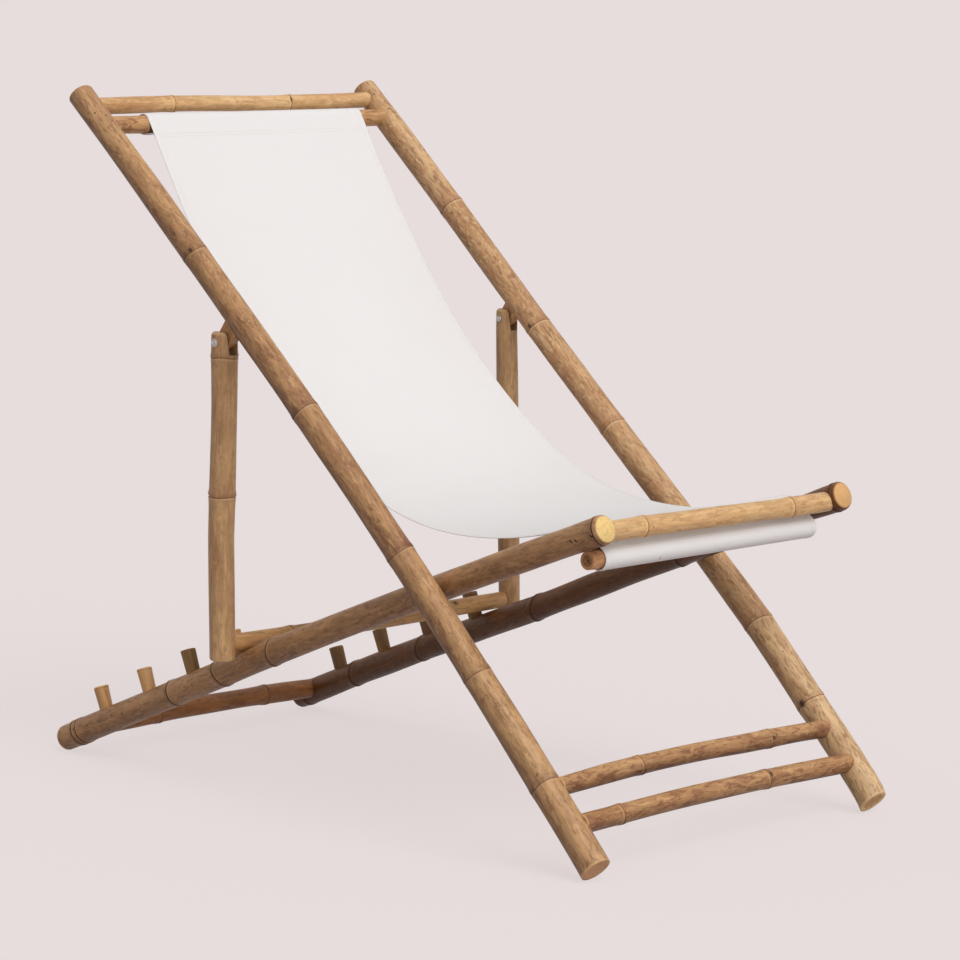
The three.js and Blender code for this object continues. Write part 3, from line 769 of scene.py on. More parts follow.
STRAW_BAR = BambooFinish(
    "straw_bar", "bamboo_bar", **tones((212, 170, 118), (176, 128, 82), (232, 196, 146), (178, 118, 80)),
    ring=paint(150, 108, 64), lip=0.7, wall=paint(232, 200, 148), middle=paint(220, 184, 130),
    dots=paint(196, 154, 100), streaks=0.4, mottle=0.6,
)
# rod_bar: its dark middle is a painted shadow that stands for a deep bore across the sawn end's face.
ROD_BAR = replace(
    STRAW_BAR, name="rod_bar", **tones((182, 130, 84), (136, 90, 54), (208, 160, 112)),
    wall=paint(180, 128, 82), middle=paint(120, 80, 50),
)
TAN_BAR = BambooFinish(
    "tan_bar", "bamboo_bar", **tones((184, 138, 92), (136, 90, 58), (216, 172, 122), (136, 82, 60)),
    ring=paint(146, 100, 62), lip=0.75, streaks=0.6, mottle=0.95,
)
PEG_CANE = BambooFinish(
    "peg_cane", "bamboo_peg", **tones((200, 152, 98), (158, 110, 66), (226, 184, 128), (136, 92, 56)),
    ring=paint(140, 98, 58), lip=0.3, streaks=0.25, mottle=0.25, lacquer=0.2, middle=paint(206, 162, 106),
)
DARK_PEG = replace(
    PEG_CANE, name="dark_peg_cane", **tones((112, 78, 36), (84, 56, 26), (140, 102, 54)),
)
PROP_BAR = BambooFinish(
    "prop_bar", "bamboo_dark", **tones((194, 146, 94), (146, 102, 62), (218, 174, 120), (124, 80, 52)),
    lip=0.5, streaks=0.4, mottle=0.45,
)
DARK_BAR = BambooFinish(
    "dark_bar", "bamboo_dark", **tones((148, 92, 44), (104, 64, 36), (174, 122, 78), (92, 58, 38)),
    streaks=0.4, grime_amount=0.4,
)
TONGUE_WOOD = HardwoodFinish("tongue_wood", "hardwood", paint(200, 148, 92), paint(156, 108, 62))
PIN_STEEL = SteelFinish("pin_steel", "steel", paint(196, 196, 198), paint(98, 62, 40), 0.45)
NAIL_STEEL = SteelFinish("nail_steel", "steel", paint(58, 46, 38), paint(42, 28, 20), 1.0)
CANVAS = CanvasFinish("sling_canvas", "canvas", paint(234, 231, 230), paint(229, 225, 222), 0.0012)
THREAD = CanvasFinish("sling_thread", "canvas", paint(234, 231, 229), paint(228, 224, 221), 0.0004)


# Meshes


def ring_faces(first: int, second: int, around: int) -> Array:
    """The faces between two rings of points that run the same way round."""
    i = np.arange(around)
    after = (i + 1) % around
    return np.stack([first + i, first + after, second + after, second + i], axis=1)


def make_mesh(name: str, points: Array, faces: Faces) -> Mesh:
    """A mesh with smooth faces, from points in metres and faces as point numbers."""
    mesh = bpy.data.meshes.new(name)
    mesh.from_pydata(points.tolist(), [], [tuple(int(i) for i in face) for face in faces])
    mesh.validate()
    mesh.polygons.foreach_set("use_smooth", [True] * len(mesh.polygons))
    mesh.update()
    return mesh


def fix_normals(mesh: Mesh) -> None:
    """Turns a closed mesh's faces outwards."""
    shell = bmesh.new()
    shell.from_mesh(mesh)
    bmesh.ops.recalc_face_normals(shell, faces=shell.faces)
    shell.to_mesh(mesh)
    shell.free()


def store(mesh: Mesh, **layers: Array) -> None:
    """Keeps named values or vectors for each point of a mesh."""
    for name, values in layers.items():
        kind, key = ("FLOAT_VECTOR", "vector") if values.ndim == 2 else ("FLOAT", "value")
        layer = mesh.attributes.new(name, kind, "POINT")
        layer.data.foreach_set(key, values.astype(np.float32).ravel())


def mesh_points(mesh: Mesh) -> Array:
    """The points of a mesh, one row each."""
    flat = np.zeros(len(mesh.vertices) * 3)
    mesh.vertices.foreach_get("co", flat)
    return flat.reshape(-1, 3)


def add_object(name: str, mesh: Mesh, finish: Finish | None = None) -> Piece:
    """An object in the scene that shows a mesh, with its finish."""
    if finish:
        mesh.materials.append(finish.material())
    made = bpy.data.objects.new(name, mesh)
    bpy.context.scene.collection.objects.link(made)
    return made


def add_piece(
    name: str, mesh: Mesh, finish: Finish, body: str, *replaced: str
) -> Piece:
    """Adds a piece, puts it on its body and hides what it stands for.

    Args:
        name: The piece's name.
        mesh: Its mesh, in place.
        finish: How it looks.
        body: The body that it moves with.
        *replaced: The CAD nodes that it stands for.

    Returns:
        The piece.
    """
    piece = add_object(name, mesh, finish)
    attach(piece, body)
    if replaced:
        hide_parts(*replaced)
    log.info("%s on %s, %d points", name, body, len(mesh.vertices))
    return piece


def flatten_wide_faces(piece: Piece) -> None:
    """Shades a piece's flat faces flat and leaves its rounded edges smooth."""
    modifier = piece.modifiers.new("wide faces", "WEIGHTED_NORMAL")
    modifier.keep_sharp = False
    modifier.weight = 100


def bell(away: Array, width: float) -> Array:
    """1 at no distance, falling away smoothly over a width."""
    return np.exp(-((away / width) ** 2))


def revolve(
    profile: list[tuple[float, float]], centre: Array, axis: Array, around: int
) -> tuple[Array, Faces]:
    """A turned solid whose profile starts and ends on the axis.

    Args:
        profile: Pairs of distance along the axis and radius, from end to end.
        centre: Where the distance is zero.
        axis: The direction of the axis.
        around: How many sides it has.

    Returns:
        The points and the faces.
    """
    axis = axis / np.linalg.norm(axis)
    helper = np.array([0.0, 0.0, 1.0]) if abs(axis[2]) < 0.9 else np.array([1.0, 0.0, 0.0])
    across = np.cross(helper, axis)
    across /= np.linalg.norm(across)
    other = np.cross(axis, across)
    angles = np.linspace(0.0, 2 * math.pi, around, endpoint=False)
    circle = np.cos(angles)[:, None] * across + np.sin(angles)[:, None] * other
    points = [centre + axis * profile[0][0]]
    faces: Faces = []
    for distance, radius in profile[1:-1]:
        points.extend(centre + axis * distance + circle * radius)
    points.append(centre + axis * profile[-1][0])
    rings = len(profile) - 2
    turn = np.arange(around)
    after = (turn + 1) % around
    faces.extend((0, 1 + b, 1 + a) for a, b in zip(turn, after))
    for ring in range(rings - 1):
        faces.extend(map(tuple, ring_faces(1 + ring * around, 1 + (ring + 1) * around, around)))
    last = 1 + (rings - 1) * around
    faces.extend((last + around, last + a, last + b) for a, b in zip(turn, after))
    return np.array(points), faces


Ring = tuple[float, float, float]
Spot = tuple[float, float]
Scar = tuple[float, float, float, float]
Bends = tuple[tuple[float, Array | tuple[float, float, float]], ...]


class EndForm(Enum):
    """How a culm ends."""

    FOOT = "sawn, with the node's disc set back"
    DOME = "rounded over"
    FLAT = "sawn flat"
    HOLLOW = "sawn flat, with an open bore"


END_PROFILES = {
    EndForm.FOOT: (
        (0.0, 0.10), (0.30, 0.11), (0.55, 0.09), (0.68, 0.07), (0.78, 0.02), (0.84, 0.0), (0.92, 0.0),
    ),
    EndForm.DOME: (
        (0.0, -0.22), (0.20, -0.212), (0.40, -0.185), (0.60, -0.14), (0.75, -0.095), (0.86, -0.05),
    ),
    EndForm.FLAT: ((0.0, 0.02), (0.30, 0.03), (0.60, 0.01), (0.85, 0.0)),
    EndForm.HOLLOW: (
        (0.0, 1.0), (0.10, 1.0), (0.155, 0.97), (0.16, 0.06), (0.20, 0.0), (0.50, 0.0), (0.80, 0.0),
    ),
}
NODE_STEPS_SHARES = (
    -1.0, -0.8, -0.62, -0.47, -0.36, -0.27, -0.20, -0.16, -0.13, -0.10, -0.075, -0.05, -0.02,
    0.005, 0.03, 0.055, 0.08, 0.11, 0.15, 0.20, 0.27, 0.36, 0.48, 0.62, 0.8, 1.0,
)
EDGE_TURN_SHARES = (0.0, 0.3, 0.6, 0.85)
NODE_WAVES = (
    # Rise, place past the ring and width of the lip, the groove, the ridge and the swell
    (0.00050, -0.0022, 0.0011), (-0.00060, 0.0, 0.0009), (0.00080, 0.0044, 0.0036), (0.00055, 0.0, 0.0105),
)
RING_REACH = 0.02
TIP_SWELL_PLACE = 0.0276
TIP_SWELL_WIDTH = 0.024
SCAR_DEPTH = 0.0007
STEADY_END = 0.002
STEADY_FADE = 0.012
CUT_DEPTH = 0.0009
CUT_FADE = 0.0006
WEAR_REACH = 0.006
STAIN_REACH = 0.055
LEAST_RING_GAP = 0.00012


@dataclass
class Culm:
    """One length of bamboo: it tapers, bows, swells at its nodes and ends as it was cut."""

    name: str
    body: str
    replaced: str
    finish: BambooFinish
    origin: Array
    along: Array
    above: Array
    length: float
    start_radius: float
    end_radius: float
    node_shares: Shares
    seed: int
    bow: float = 0.0
    peak_share: float = 0.5
    wave: float = 0.0
    node_scale: float = 1.0
    node_reach: float = 0.016
    ring_tilt: float = 0.0011
    start_form: EndForm = EndForm.FLAT
    end_form: EndForm = EndForm.FLAT
    start_edge: float = 0.0015
    end_edge: float = 0.0015
    tip_swell: float = 0.0
    wall_share: float = 0.84
    flip: float = 1.0
    bends: Bends = ()
    girths: Pairs = ((0.0, 1.0),)
    # How strongly shade is painted on the culm's underside.
    under: float = 0.0
    scars: tuple[Scar, ...] = ()
    stains: dict[int, float] = field(default_factory=dict)
    leans: dict[int, float] = field(default_factory=dict)
    tones: dict[int, float] = field(default_factory=dict)
    faint: dict[int, float] = field(default_factory=dict)
    tone_spread: float = 0.07
    crook: float = 0.0008
    around: int = 48
    spacing: float = 0.009

    def __post_init__(self) -> None:
        """Draws the culm's own irregularities."""
        random = np.random.default_rng(self.seed)
        count = len(self.node_shares)
        self.nodes = np.array(self.node_shares) * self.length
        self.tilts = random.uniform(0.4, 1.3, count) * self.ring_tilt
        self.wobbles = random.uniform(0.2, 0.5, count) * self.ring_tilt
        self.tilt_turns = random.uniform(0.0, 2 * math.pi, (3, count))
        self.ridges = random.uniform(0.75, 1.25, count) * self.node_scale
        shades = random.uniform(-1.0, 1.0, count + 1) * self.tone_spread
        self.shades = np.array([self.tones.get(i, shade) for i, shade in enumerate(shades)])
        self.rings = np.array([self.faint.get(i, 1.0) for i in range(count)])
        self.oval_turn = random.uniform(0.0, math.pi)
        self.swells = random.uniform(-0.00025, 0.00035, 6)
        self.crooks = random.uniform(-1.0, 1.0, (2, count)) * self.crook
        self.shift = random.uniform(-3.0, 3.0, 3)
        self.side = np.cross(self.along, self.above) * -1.0
        for index, lean in self.leans.items():
            self.tilts[index] = lean
            self.tilt_turns[0, index] = math.pi
        room = np.minimum(self.nodes, self.length - self.nodes) * 0.25
        self.tilts = np.clip(self.tilts, -room, room)

    def ring_shift(self, index: int, angle: Array) -> Array:
        """How far a node's ring strays along the culm at each angle round it."""
        turns = self.tilt_turns[:, index]
        wobble = np.sin(2 * angle + turns[1]) + 0.5 * np.sin(3 * angle + turns[2])
        return self.tilts[index] * np.sin(angle + turns[0]) + self.wobbles[index] * wobble

    def node_gap(self, place: Array, angle: Array) -> tuple[Array, Array]:
        """The signed distance of points to the nearest node's ring, and that node's number."""
        gaps = np.stack([
            place - node - self.ring_shift(i, angle) * bell(place - node, RING_REACH)
            for i, node in enumerate(self.nodes)
        ])
        nearest = np.argmin(np.abs(gaps), axis=0)
        return np.take_along_axis(gaps, nearest[None], axis=0)[0], nearest

    def node_form(self, gap: Array, height: Array) -> Array:
        """The rise of the surface near a node: the sheath's lip, its groove and the ridge."""
        waves = (rise * bell(gap - place, width) for rise, place, width in NODE_WAVES)
        return height * sum(waves)

    def radius(self, place: Array, angle: Array) -> Array:
        """The outer radius at places along the culm and angles round it."""
        share = np.clip(place / self.length, 0.0, 1.0)
        plain = self.start_radius + (self.end_radius - self.start_radius) * share
        plain = plain * np.interp(share, *zip(*self.girths))
        gap, nearest = self.node_gap(place, angle)
        form = self.node_form(gap * self.flip, self.ridges[nearest])
        oval = plain * 0.012 * np.cos(2 * (angle - self.oval_turn))
        uneven = sum(
            swell * np.sin((i + 1) * 2.3 * place / 0.35 + i * 1.7 + (i % 3) * angle)
            for i, swell in enumerate(self.swells)
        )
        tip = self.tip_swell * bell(self.length - place - TIP_SWELL_PLACE, TIP_SWELL_WIDTH)
        scar = SCAR_DEPTH * self.scar_mask(place, angle, 1.0)
        return plain + form + oval + uneven + tip - scar

    def scar_mask(self, place: Array, angle: Array, sharp: float) -> Array:
        """1 in a branch scar, falling to 0 round it."""
        mask = np.zeros_like(place)
        for distance, degrees, width, height in self.scars:
            turned = (angle - math.radians(degrees) + math.pi) % (2 * math.pi) - math.pi
            across = turned * self.start_radius / width
            along = (place - distance) / height
            mask = np.maximum(mask, np.exp(-((across ** 2 + along ** 2) ** sharp)))
        return mask

    def centre(self, place: Array) -> Array:
        """The centre line at distances along the culm."""
        share = np.clip(place / self.length, 0.0, 1.0)
        raised = bow_at(share, self.bow, self.peak_share)
        raised = raised + self.wave * np.sin(2 * math.pi * share) * np.sin(math.pi * share)
        knots = np.concatenate([[0.0], self.nodes, [self.length]])
        bends = [np.interp(place, knots, np.concatenate([[0.0], row, [0.0]])) for row in self.crooks]
        straight = self.origin + np.multiply.outer(place, self.along)
        lift = np.multiply.outer(raised + bends[0], self.above)
        middle = straight + lift + np.multiply.outer(bends[1], self.side)
        if self.bends:
            places, strays = zip(*self.bends)
            for axis, row in enumerate(np.array(strays).T):
                middle[..., axis] += np.interp(share, places, row)
        return middle

    def stations(self) -> Array:
        """The distances of the plain rings along the culm."""
        low = self.start_edge
        high = self.length - self.end_edge
        count = max(2, round((high - low) / self.spacing))
        places = list(np.linspace(low, high, count + 1))
        reach = self.node_reach
        for node in self.nodes:
            places = [p for p in places if abs(p - node) > reach * 1.1 or p in (low, high)]
        for node in self.nodes:
            places.extend(node + reach * share for share in NODE_STEPS_SHARES)
        inside = sorted(p for p in places if low <= p <= high)
        kept = [inside[0]]
        for place in inside[1:]:
            if place - kept[-1] > LEAST_RING_GAP:
                kept.append(place)
        return np.array(kept)

    def end_rings(self, form: EndForm, edge: float, radius: float) -> list[Ring]:
        """The rings of an end, from its middle out and round its edge."""
        rings = [(depth * radius, share * (1 - edge / radius), 0.0) for share, depth in END_PROFILES[form]]
        for turn in EDGE_TURN_SHARES:
            angle = turn * math.pi / 2
            rings.append((edge * (1 - math.cos(angle)), 1.0, edge * (1 - math.sin(angle))))
        return rings

    def profile(self) -> list[Ring]:
        """The rings from end to end, each as a distance, a share of the radius and an inset."""
        start = self.end_rings(self.start_form, self.start_edge, self.start_radius)
        end = self.end_rings(self.end_form, self.end_edge, self.end_radius)
        middle = [(place, 1.0, 0.0) for place in self.stations()]
        return start + middle + [(self.length - depth, *rest) for depth, *rest in reversed(end)]

    def build(self) -> Mesh:
        """The culm's mesh."""
        rings = self.profile()
        angle = np.linspace(0.0, 2 * math.pi, self.around, endpoint=False)
        wheel = np.cos(angle)[:, None] * self.side + np.sin(angle)[:, None] * self.above
        points = []
        starts = []
        for distance, share, inset in rings:
            starts.append(len(points))
            place = np.full(self.around, distance)
            strays = np.zeros(self.around)
            if share == 1.0 and inset == 0.0:
                for i, node in enumerate(self.nodes):
                    strays += self.ring_shift(i, angle) * bell(distance - node, RING_REACH)
                ends = min(distance, self.length - distance)
                strays *= min(1.0, max(0.0, ends - STEADY_END) / STEADY_FADE)
            if share == 0.0:
                points.append(self.centre(np.array([distance]))[0])
                continue
            size = self.radius(np.clip(place + strays, 0.0, self.length), angle) * share - inset
            points.extend(self.centre(place + strays) + wheel * size[:, None])
        faces = self.skin_faces(starts, rings)
        return make_mesh(self.name, np.array(points), faces)

    def skin_faces(self, starts: list[int], rings: list[Ring]) -> Faces:
        """The faces between the rings, with a fan at each end."""
        faces: Faces = []
        turn = range(self.around)
        for ring in range(1, len(rings)):
            low, high = starts[ring - 1], starts[ring]
            if rings[ring - 1][1] == 0.0:
                faces.extend((low, high + (i + 1) % self.around, high + i) for i in turn)
            elif rings[ring][1] == 0.0:
                faces.extend((high, low + i, low + (i + 1) % self.around) for i in turn)
            else:
                faces.extend(map(tuple, ring_faces(low, high, self.around)))
        return faces

    def dress(self, mesh: Mesh) -> None:
        """Stores what the finish needs at each point of the culm."""
        points = mesh_points(mesh)
        offset = points - self.origin
        place = offset @ self.along
        radial = points - self.centre(place)
        across = radial @ self.side
        raised = radial @ self.above
        angle = np.arctan2(raised, across)
        size = np.hypot(across, raised)
        outer = self.radius(np.clip(place, 0.0, self.length), angle)
        share = size / outer
        gap, nearest = self.node_gap(place, angle)
        internode = np.searchsorted(self.nodes, place - self.gap_shift(place, gap))
        stain = np.zeros(len(points))
        for index, strength in self.stains.items():
            above = place - self.nodes[index]
            fall = np.clip(1.0 - above / STAIN_REACH, 0.0, 1.0) * (above > 0.0)
            stain = np.maximum(stain, strength * fall)
        inner = outer - size
        near_end = np.minimum(place, self.length - place)
        cut = np.clip((inner - CUT_DEPTH) / CUT_FADE, 0.0, 1.0)
        wear = np.clip(1.0 - near_end / WEAR_REACH, 0.0, 1.0) * (1.0 - cut)
        grain = np.stack([across, raised, place], axis=1) + self.shift
        store(
            mesh, grain=grain, node_gap=np.clip(gap * self.flip, -0.03, 0.03),
            tone=self.shades[internode], ring_mask=self.rings[nearest] * (np.abs(gap) < RING_REACH),
            # The painted shade's mask: 0 on top, 0.5 at the sides and 1 on the underside.
            under_mask=self.under * np.clip(0.5 - 0.5 * np.sin(angle), 0.0, 1.0), stain_mask=stain,
            scar_mask=np.clip(self.scar_mask(place, angle, 1.6) * 1.3, 0.0, 1.0), cut=cut,
            wall_share=(np.clip(share, 0.0, 1.0) - self.wall_share) / (1.0 - self.wall_share),
            wear_mask=wear,
        )

    def gap_shift(self, place: Array, gap: Array) -> Array:
        """The stray of the nearest ring, so that the tone changes on the ring itself."""
        nearest = np.argmin(np.abs(place[:, None] - self.nodes[None, :]), axis=1)
        return place - self.nodes[nearest] - gap

    def make(self) -> None:
        """Builds the culm and puts it on its body."""
        mesh = self.build()
        self.dress(mesh)
        add_piece(self.name, mesh, self.finish, self.body, self.replaced)

    def surface(self, distance: float, degrees: float) -> tuple[Array, Array]:
        """A point on the culm's skin and the way out of it."""
        place = np.array([distance])
        angle = np.array([math.radians(degrees)])
        outward = math.cos(angle[0]) * self.side + math.sin(angle[0]) * self.above
        return self.centre(place)[0] + outward * self.radius(place, angle)[0], outward


@dataclass
class NailHeads:
    """Nail heads set into the culms, as one piece on each body."""

    name: str
    body: str
    head_radius: float = 0.0013
    head_rise: float = 0.0003
    sunk: float = 0.0012

    def make(self, spots: dict[Side, list[Spot]], culms: dict[Side, Culm]) -> None:
        """Builds the nail heads at distances along each side's culm and angles round it."""
        points: list[Array] = []
        faces: Faces = []
        profile = [
            (-self.sunk, 0.0), (-self.sunk, self.head_radius * 0.7), (0.0, self.head_radius),
            (self.head_rise * 0.7, self.head_radius * 0.85), (self.head_rise, self.head_radius * 0.5),
            (self.head_rise, 0.0),
        ]
        for side, distance, degrees in [(side, *spot) for side in Side for spot in spots[side]]:
            ring, sides = revolve(profile, *culms[side].surface(distance, degrees), 14)
            start = len(points)
            points.extend(ring)
            faces.extend(tuple(start + i for i in face) for face in sides)
        add_piece(self.name, make_mesh(self.name, np.array(points), faces), NAIL_STEEL, self.body)


@dataclass(frozen=True)
class Bar:
    """A bar between two culms. A distance below zero is counted back from their far end."""

    name: str
    finish: BambooFinish
    seed: int
    distance: float
    radius: float
    node_shares: Shares
    raised: float = 0.0
    shifts: Pairs = ((0.0, 0.0), (0.0, 0.0))
    more: dict[str, object] = field(default_factory=dict)

    def culm(self, body: str, centre: Array, half_span: float) -> Culm:
        """The bar along X, its ends hidden inside the culms that carry it.

        Args:
            body: The body that it moves with.
            centre: The middle between its carriers; each end strays from there by its shift.
            half_span: How far the carriers' centre lines are from the middle.

        Returns:
            The bar, not built yet.
        """
        inset = BAR_END_INSET
        ends = [
            np.array([sign * (half_span - inset), centre[1] + y, centre[2] + z])
            for sign, (y, z) in zip((-1.0, 1.0), self.shifts)
        ]
        length = float(np.linalg.norm(ends[1] - ends[0]))
        along = (ends[1] - ends[0]) / length
        above = np.cross(along, [0.0, 1.0, 0.0])
        above /= np.linalg.norm(above)
        shares = tuple((share * 2 * half_span - inset) / length for share in self.node_shares)
        return Culm(
            name=f"{self.name}_cane", body=body, replaced=self.name, finish=self.finish, origin=ends[0],
            along=along, above=above, length=length, start_radius=self.radius, end_radius=self.radius,
            node_shares=shares, seed=self.seed, node_scale=0.85, node_reach=0.012, ring_tilt=0.0008,
            around=36, spacing=0.007, **self.more,
        )


def bar_place(bar: Bar, line: SideLine, length: float, offset: Callable[[float], float]) -> Array:
    """The middle of a bar between two culms on a line, which lie above it by the offset."""
    distance = bar.distance if bar.distance > 0 else length + bar.distance
    return line.point(0.0, distance, offset(distance) + bar.raised)


BAR_END_INSET = 0.009
BACK_BARS = (
    Bar(
        "top_rail", STRAW_BAR, 21, -0.027, 0.012, (0.27, 0.68),
        more={"wave": 0.0015, "scars": ((0.372, 150.0, 0.004, 0.002),)},
    ),
    Bar("top_sling_rod", TAN_BAR, 22, -0.067, 0.013, (0.14, 0.62)),
    Bar(
        "upper_stretcher", TAN_BAR, 23, 0.121, 0.0126, (0.29, 0.748), 0.006,
        more={
            # painted shade on the underside of the upper stretcher
            "bow": 0.005, "wave": 0.0015, "crook": 0.0022, "faint": {1: 0.35}, "under": 0.8,
            "scars": (
                (0.412, 165.0, 0.0014, 0.004), (0.419, 145.0, 0.002, 0.0016), (0.405, 180.0, 0.002, 0.001),
            ),
        },
    ),
    Bar(
        "lower_stretcher", TAN_BAR, 24, 0.062, 0.0133, (0.14, 0.66), 0.006,
        more={
            # painted shade on the underside of the lower stretcher
            "bow": 0.0045, "under": 0.6,
            "scars": ((0.364, 138.0, 0.0042, 0.0022), (0.369, 160.0, 0.002, 0.0012)),
        },
    ),
)
BASE_BARS = (
    Bar("front_rail", STRAW_BAR, 41, -0.019, 0.0134, (0.18, 0.8), 0.0, ((0.0, -0.0012), (0.0, -0.0044))),
    Bar("seat_rail", TAN_BAR, 42, -0.071, 0.014, (0.35, 0.72), 0.003),
    Bar(
        "rear_crossbar", DARK_BAR, 43, 0.038, 0.0150, (0.3, 0.76), 0.0, ((0.0, 0.004), (0.0, 0.004)),
        {"bow": 0.004, "peak_share": 0.4},
    ),
)
PROP_CROSSBAR = Bar(
    "prop_crossbar", PROP_BAR, 81, 0.0, 0.0123, (0.22, 0.76), 0.0, ((0.0, 0.0), (-0.008, 0.0005)),
    {"scars": ((0.4355, 134.0, 0.0035, 0.0022),), "bow": -0.002},
)
POLE_NAILS: dict[Side, list[Spot]] = {
    Side.LEFT: [(1.359, 43.0), (1.348, 82.0), (1.337, 94.0), (1.326, 112.0), (1.318, 117.0)],
    Side.RIGHT: [(1.383, 60.0), (1.347, 75.0), (0.121, 20.0), (0.062, 15.0)],
}
RAIL_NAILS: dict[Side, list[Spot]] = {
    Side.LEFT: [
        (0.0771, 172.0), (0.1069, 172.0), (0.1069, 177.0), (0.1411, 174.0), (1.1404, 184.0),
        (1.1411, 188.0), (1.1418, 192.0), (1.1490, 188.0), (1.1497, 192.0), (1.1504, 196.0),
        (1.1775, 190.0), (1.1785, 194.0), (1.1795, 198.0),
    ],
    Side.RIGHT: [(1.16, -6.0), (1.119, -4.0), (0.046, -8.0)],
}
POLE_TONES: dict[Side, dict[int, float]] = {
    Side.LEFT: {0: -0.22, 1: -0.22, 2: -0.02, 3: 0.03},
    Side.RIGHT: {0: -0.30, 1: -0.12, 2: -0.08, 5: 0.05},
}
POLE_SCARS: dict[Side, tuple[Scar, ...]] = {
    Side.LEFT: (
        (1.079, 32.0, 0.0030, 0.0040), (0.2285, 80.0, 0.0018, 0.0018), (0.143, 37.0, 0.0015, 0.0015),
    ),
    Side.RIGHT: ((0.168, 5.0, 0.0045, 0.0055), (0.899, 4.0, 0.0030, 0.0035)),
}
NEAR_RAIL_SCARS: tuple[Scar, ...] = ((0.1069, 175.0, 0.0030, 0.0020),)


@dataclass
class BackFrame:
    """The back poles with their bars and the tongues of the hinges."""

    layout: Layout
    node_shares: dict[Side, Shares] = field(default_factory=lambda: {
        Side.LEFT: (0.092, 0.217, 0.3625, 0.545, 0.761),
        Side.RIGHT: (0.117, 0.217, 0.35, 0.489, 0.634, 0.812),
    })
    pole_bends: dict[Side, Pairs] = field(default_factory=lambda: {
        Side.LEFT: ((0.0, 0.0), (0.092, -0.002), (0.217, -0.002), (0.3625, 0.0)),
        Side.RIGHT: (
            (0.0, 0.0), (0.117, -0.001), (0.217, 0.0045), (0.35, 0.003), (0.489, -0.003), (0.634, -0.003),
            (0.812, 0.0),
        ),
    })
    pole_girths: dict[Side, Pairs] = field(default_factory=lambda: {
        Side.LEFT: ((0.0, 1.0), (0.12, 1.0), (0.30, 0.945), (1.0, 0.945)),
        Side.RIGHT: ((0.0, 1.0), (0.45, 1.0), (0.65, 0.955), (1.0, 0.955)),
    })
    pin_from_foot: float = 0.952
    pin_drop: float = 0.045
    tongue_thickness: float = 0.013
    tongue_root_width: float = 0.034
    tongue_end_radius: float = 0.0125
    tongue_depth: float = 0.011
    tongue_bevel: float = 0.0012

    def pole(self, side: Side) -> Culm:
        """A back pole."""
        line = self.layout.back_line
        bow, peak_share = self.layout.back_bow(side)
        left = side is Side.LEFT
        return Culm(
            name=f"{side.value}_back_pole_culm", body="back_frame", replaced=f"{side.value}_back_pole",
            finish=WARM_CULM if left else FAR_CULM,
            origin=line.point(side.sign * self.layout.back_x, 0.0), along=line.along, above=line.above,
            length=self.layout.back_length, start_radius=self.layout.back_foot_radius,
            end_radius=self.layout.back_top_radius, node_shares=self.node_shares[side],
            seed=11 if left else 12, bow=bow, peak_share=peak_share, start_form=EndForm.FOOT,
            start_edge=0.0009, end_edge=0.0030, wall_share=0.88 if left else 0.70, ring_tilt=0.0016,
            node_scale=0.6,
            bends=tuple((share, line.above * stray) for share, stray in self.pole_bends[side]),
            # painted shade on the underside of each pole, stronger on the left one
            girths=self.pole_girths[side], under=0.8 if left else 0.45, tones=POLE_TONES[side],
            scars=POLE_SCARS[side],
            stains={0: 0.5, 2: 1.0, 3: 0.75, 4: 0.5} if left else {1: 0.6, 3: 0.5, 4: 0.4, 5: 0.6},
        )

    def bars(self) -> list[Culm]:
        """The four bars of the back frame."""
        own = self.layout
        place = (own.back_line, own.back_length, own.back_offset)
        return [bar.culm("back_frame", bar_place(bar, *place), own.back_x) for bar in BACK_BARS]

    def tongue_outline(self, side: Side, inset: float) -> Array:
        """The tongue's outline in distances along and above the poles' line, drawn in by an inset."""
        bow, peak_share = self.layout.back_bow(side)
        share = self.pin_from_foot / self.layout.back_length
        offset = float(bow_at(share, bow, peak_share))
        root = offset - self.layout.back_top_radius + self.tongue_depth
        centre = self.layout.back_offset(self.pin_from_foot) - self.pin_drop
        half = self.tongue_root_width / 2 - inset
        end = self.tongue_end_radius - inset
        turns = np.linspace(math.pi, 2 * math.pi, 17)
        arc = np.stack([end * np.cos(turns), centre + end * np.sin(turns)], axis=1)
        return np.vstack([[-half, root], arc, [half, root]]) + [self.pin_from_foot, 0.0]

    def tongue(self, side: Side) -> None:
        """The tapered tongue under a back pole, with its edges broken."""
        line = self.layout.back_line
        x = side.sign * self.layout.back_x
        half = self.tongue_thickness / 2
        bevel = self.tongue_bevel
        layers = [(-half, bevel), (-half + bevel * 0.3, bevel * 0.3), (-half + bevel, 0.0)]
        layers += [(-place, inset) for place, inset in reversed(layers)]
        points: list[Array] = []
        for across, inset in layers:
            for along, above in self.tongue_outline(side, inset):
                points.append(line.point(x + across, along, above))
        count = len(points) // len(layers)
        faces: Faces = [tuple(range(count))]
        for layer in range(len(layers) - 1):
            faces.extend(
                tuple(face[::-1]) for face in ring_faces(layer * count, (layer + 1) * count, count)
            )
        faces.append(tuple(reversed(range(len(points) - count, len(points)))))
        name = f"{side.value}_tongue"
        mesh = make_mesh(name, np.array(points), faces)
        fix_normals(mesh)
        spots = mesh_points(mesh)
        local = spots - line.point(x, self.pin_from_foot, 0.0)
        grain = np.stack([local @ line.along, spots[:, 0] - x, local @ line.above], axis=1)
        wear = np.where(np.abs(spots[:, 0] - x) > half - bevel * 0.5, 0.6, 0.1)
        store(mesh, grain=grain + side.sign, wear_mask=wear)
        node = f"{side.value}_hinge_tongue"
        flatten_wide_faces(add_piece(name, mesh, TONGUE_WOOD, "back_frame", node))

    def make(self) -> None:
        """Builds the whole back frame."""
        poles = {side: self.pole(side) for side in Side}
        for culm in [*poles.values(), *self.bars()]:
            culm.make()
        for side in Side:
            self.tongue(side)
        NailHeads("back_frame_nails", "back_frame").make(POLE_NAILS, poles)


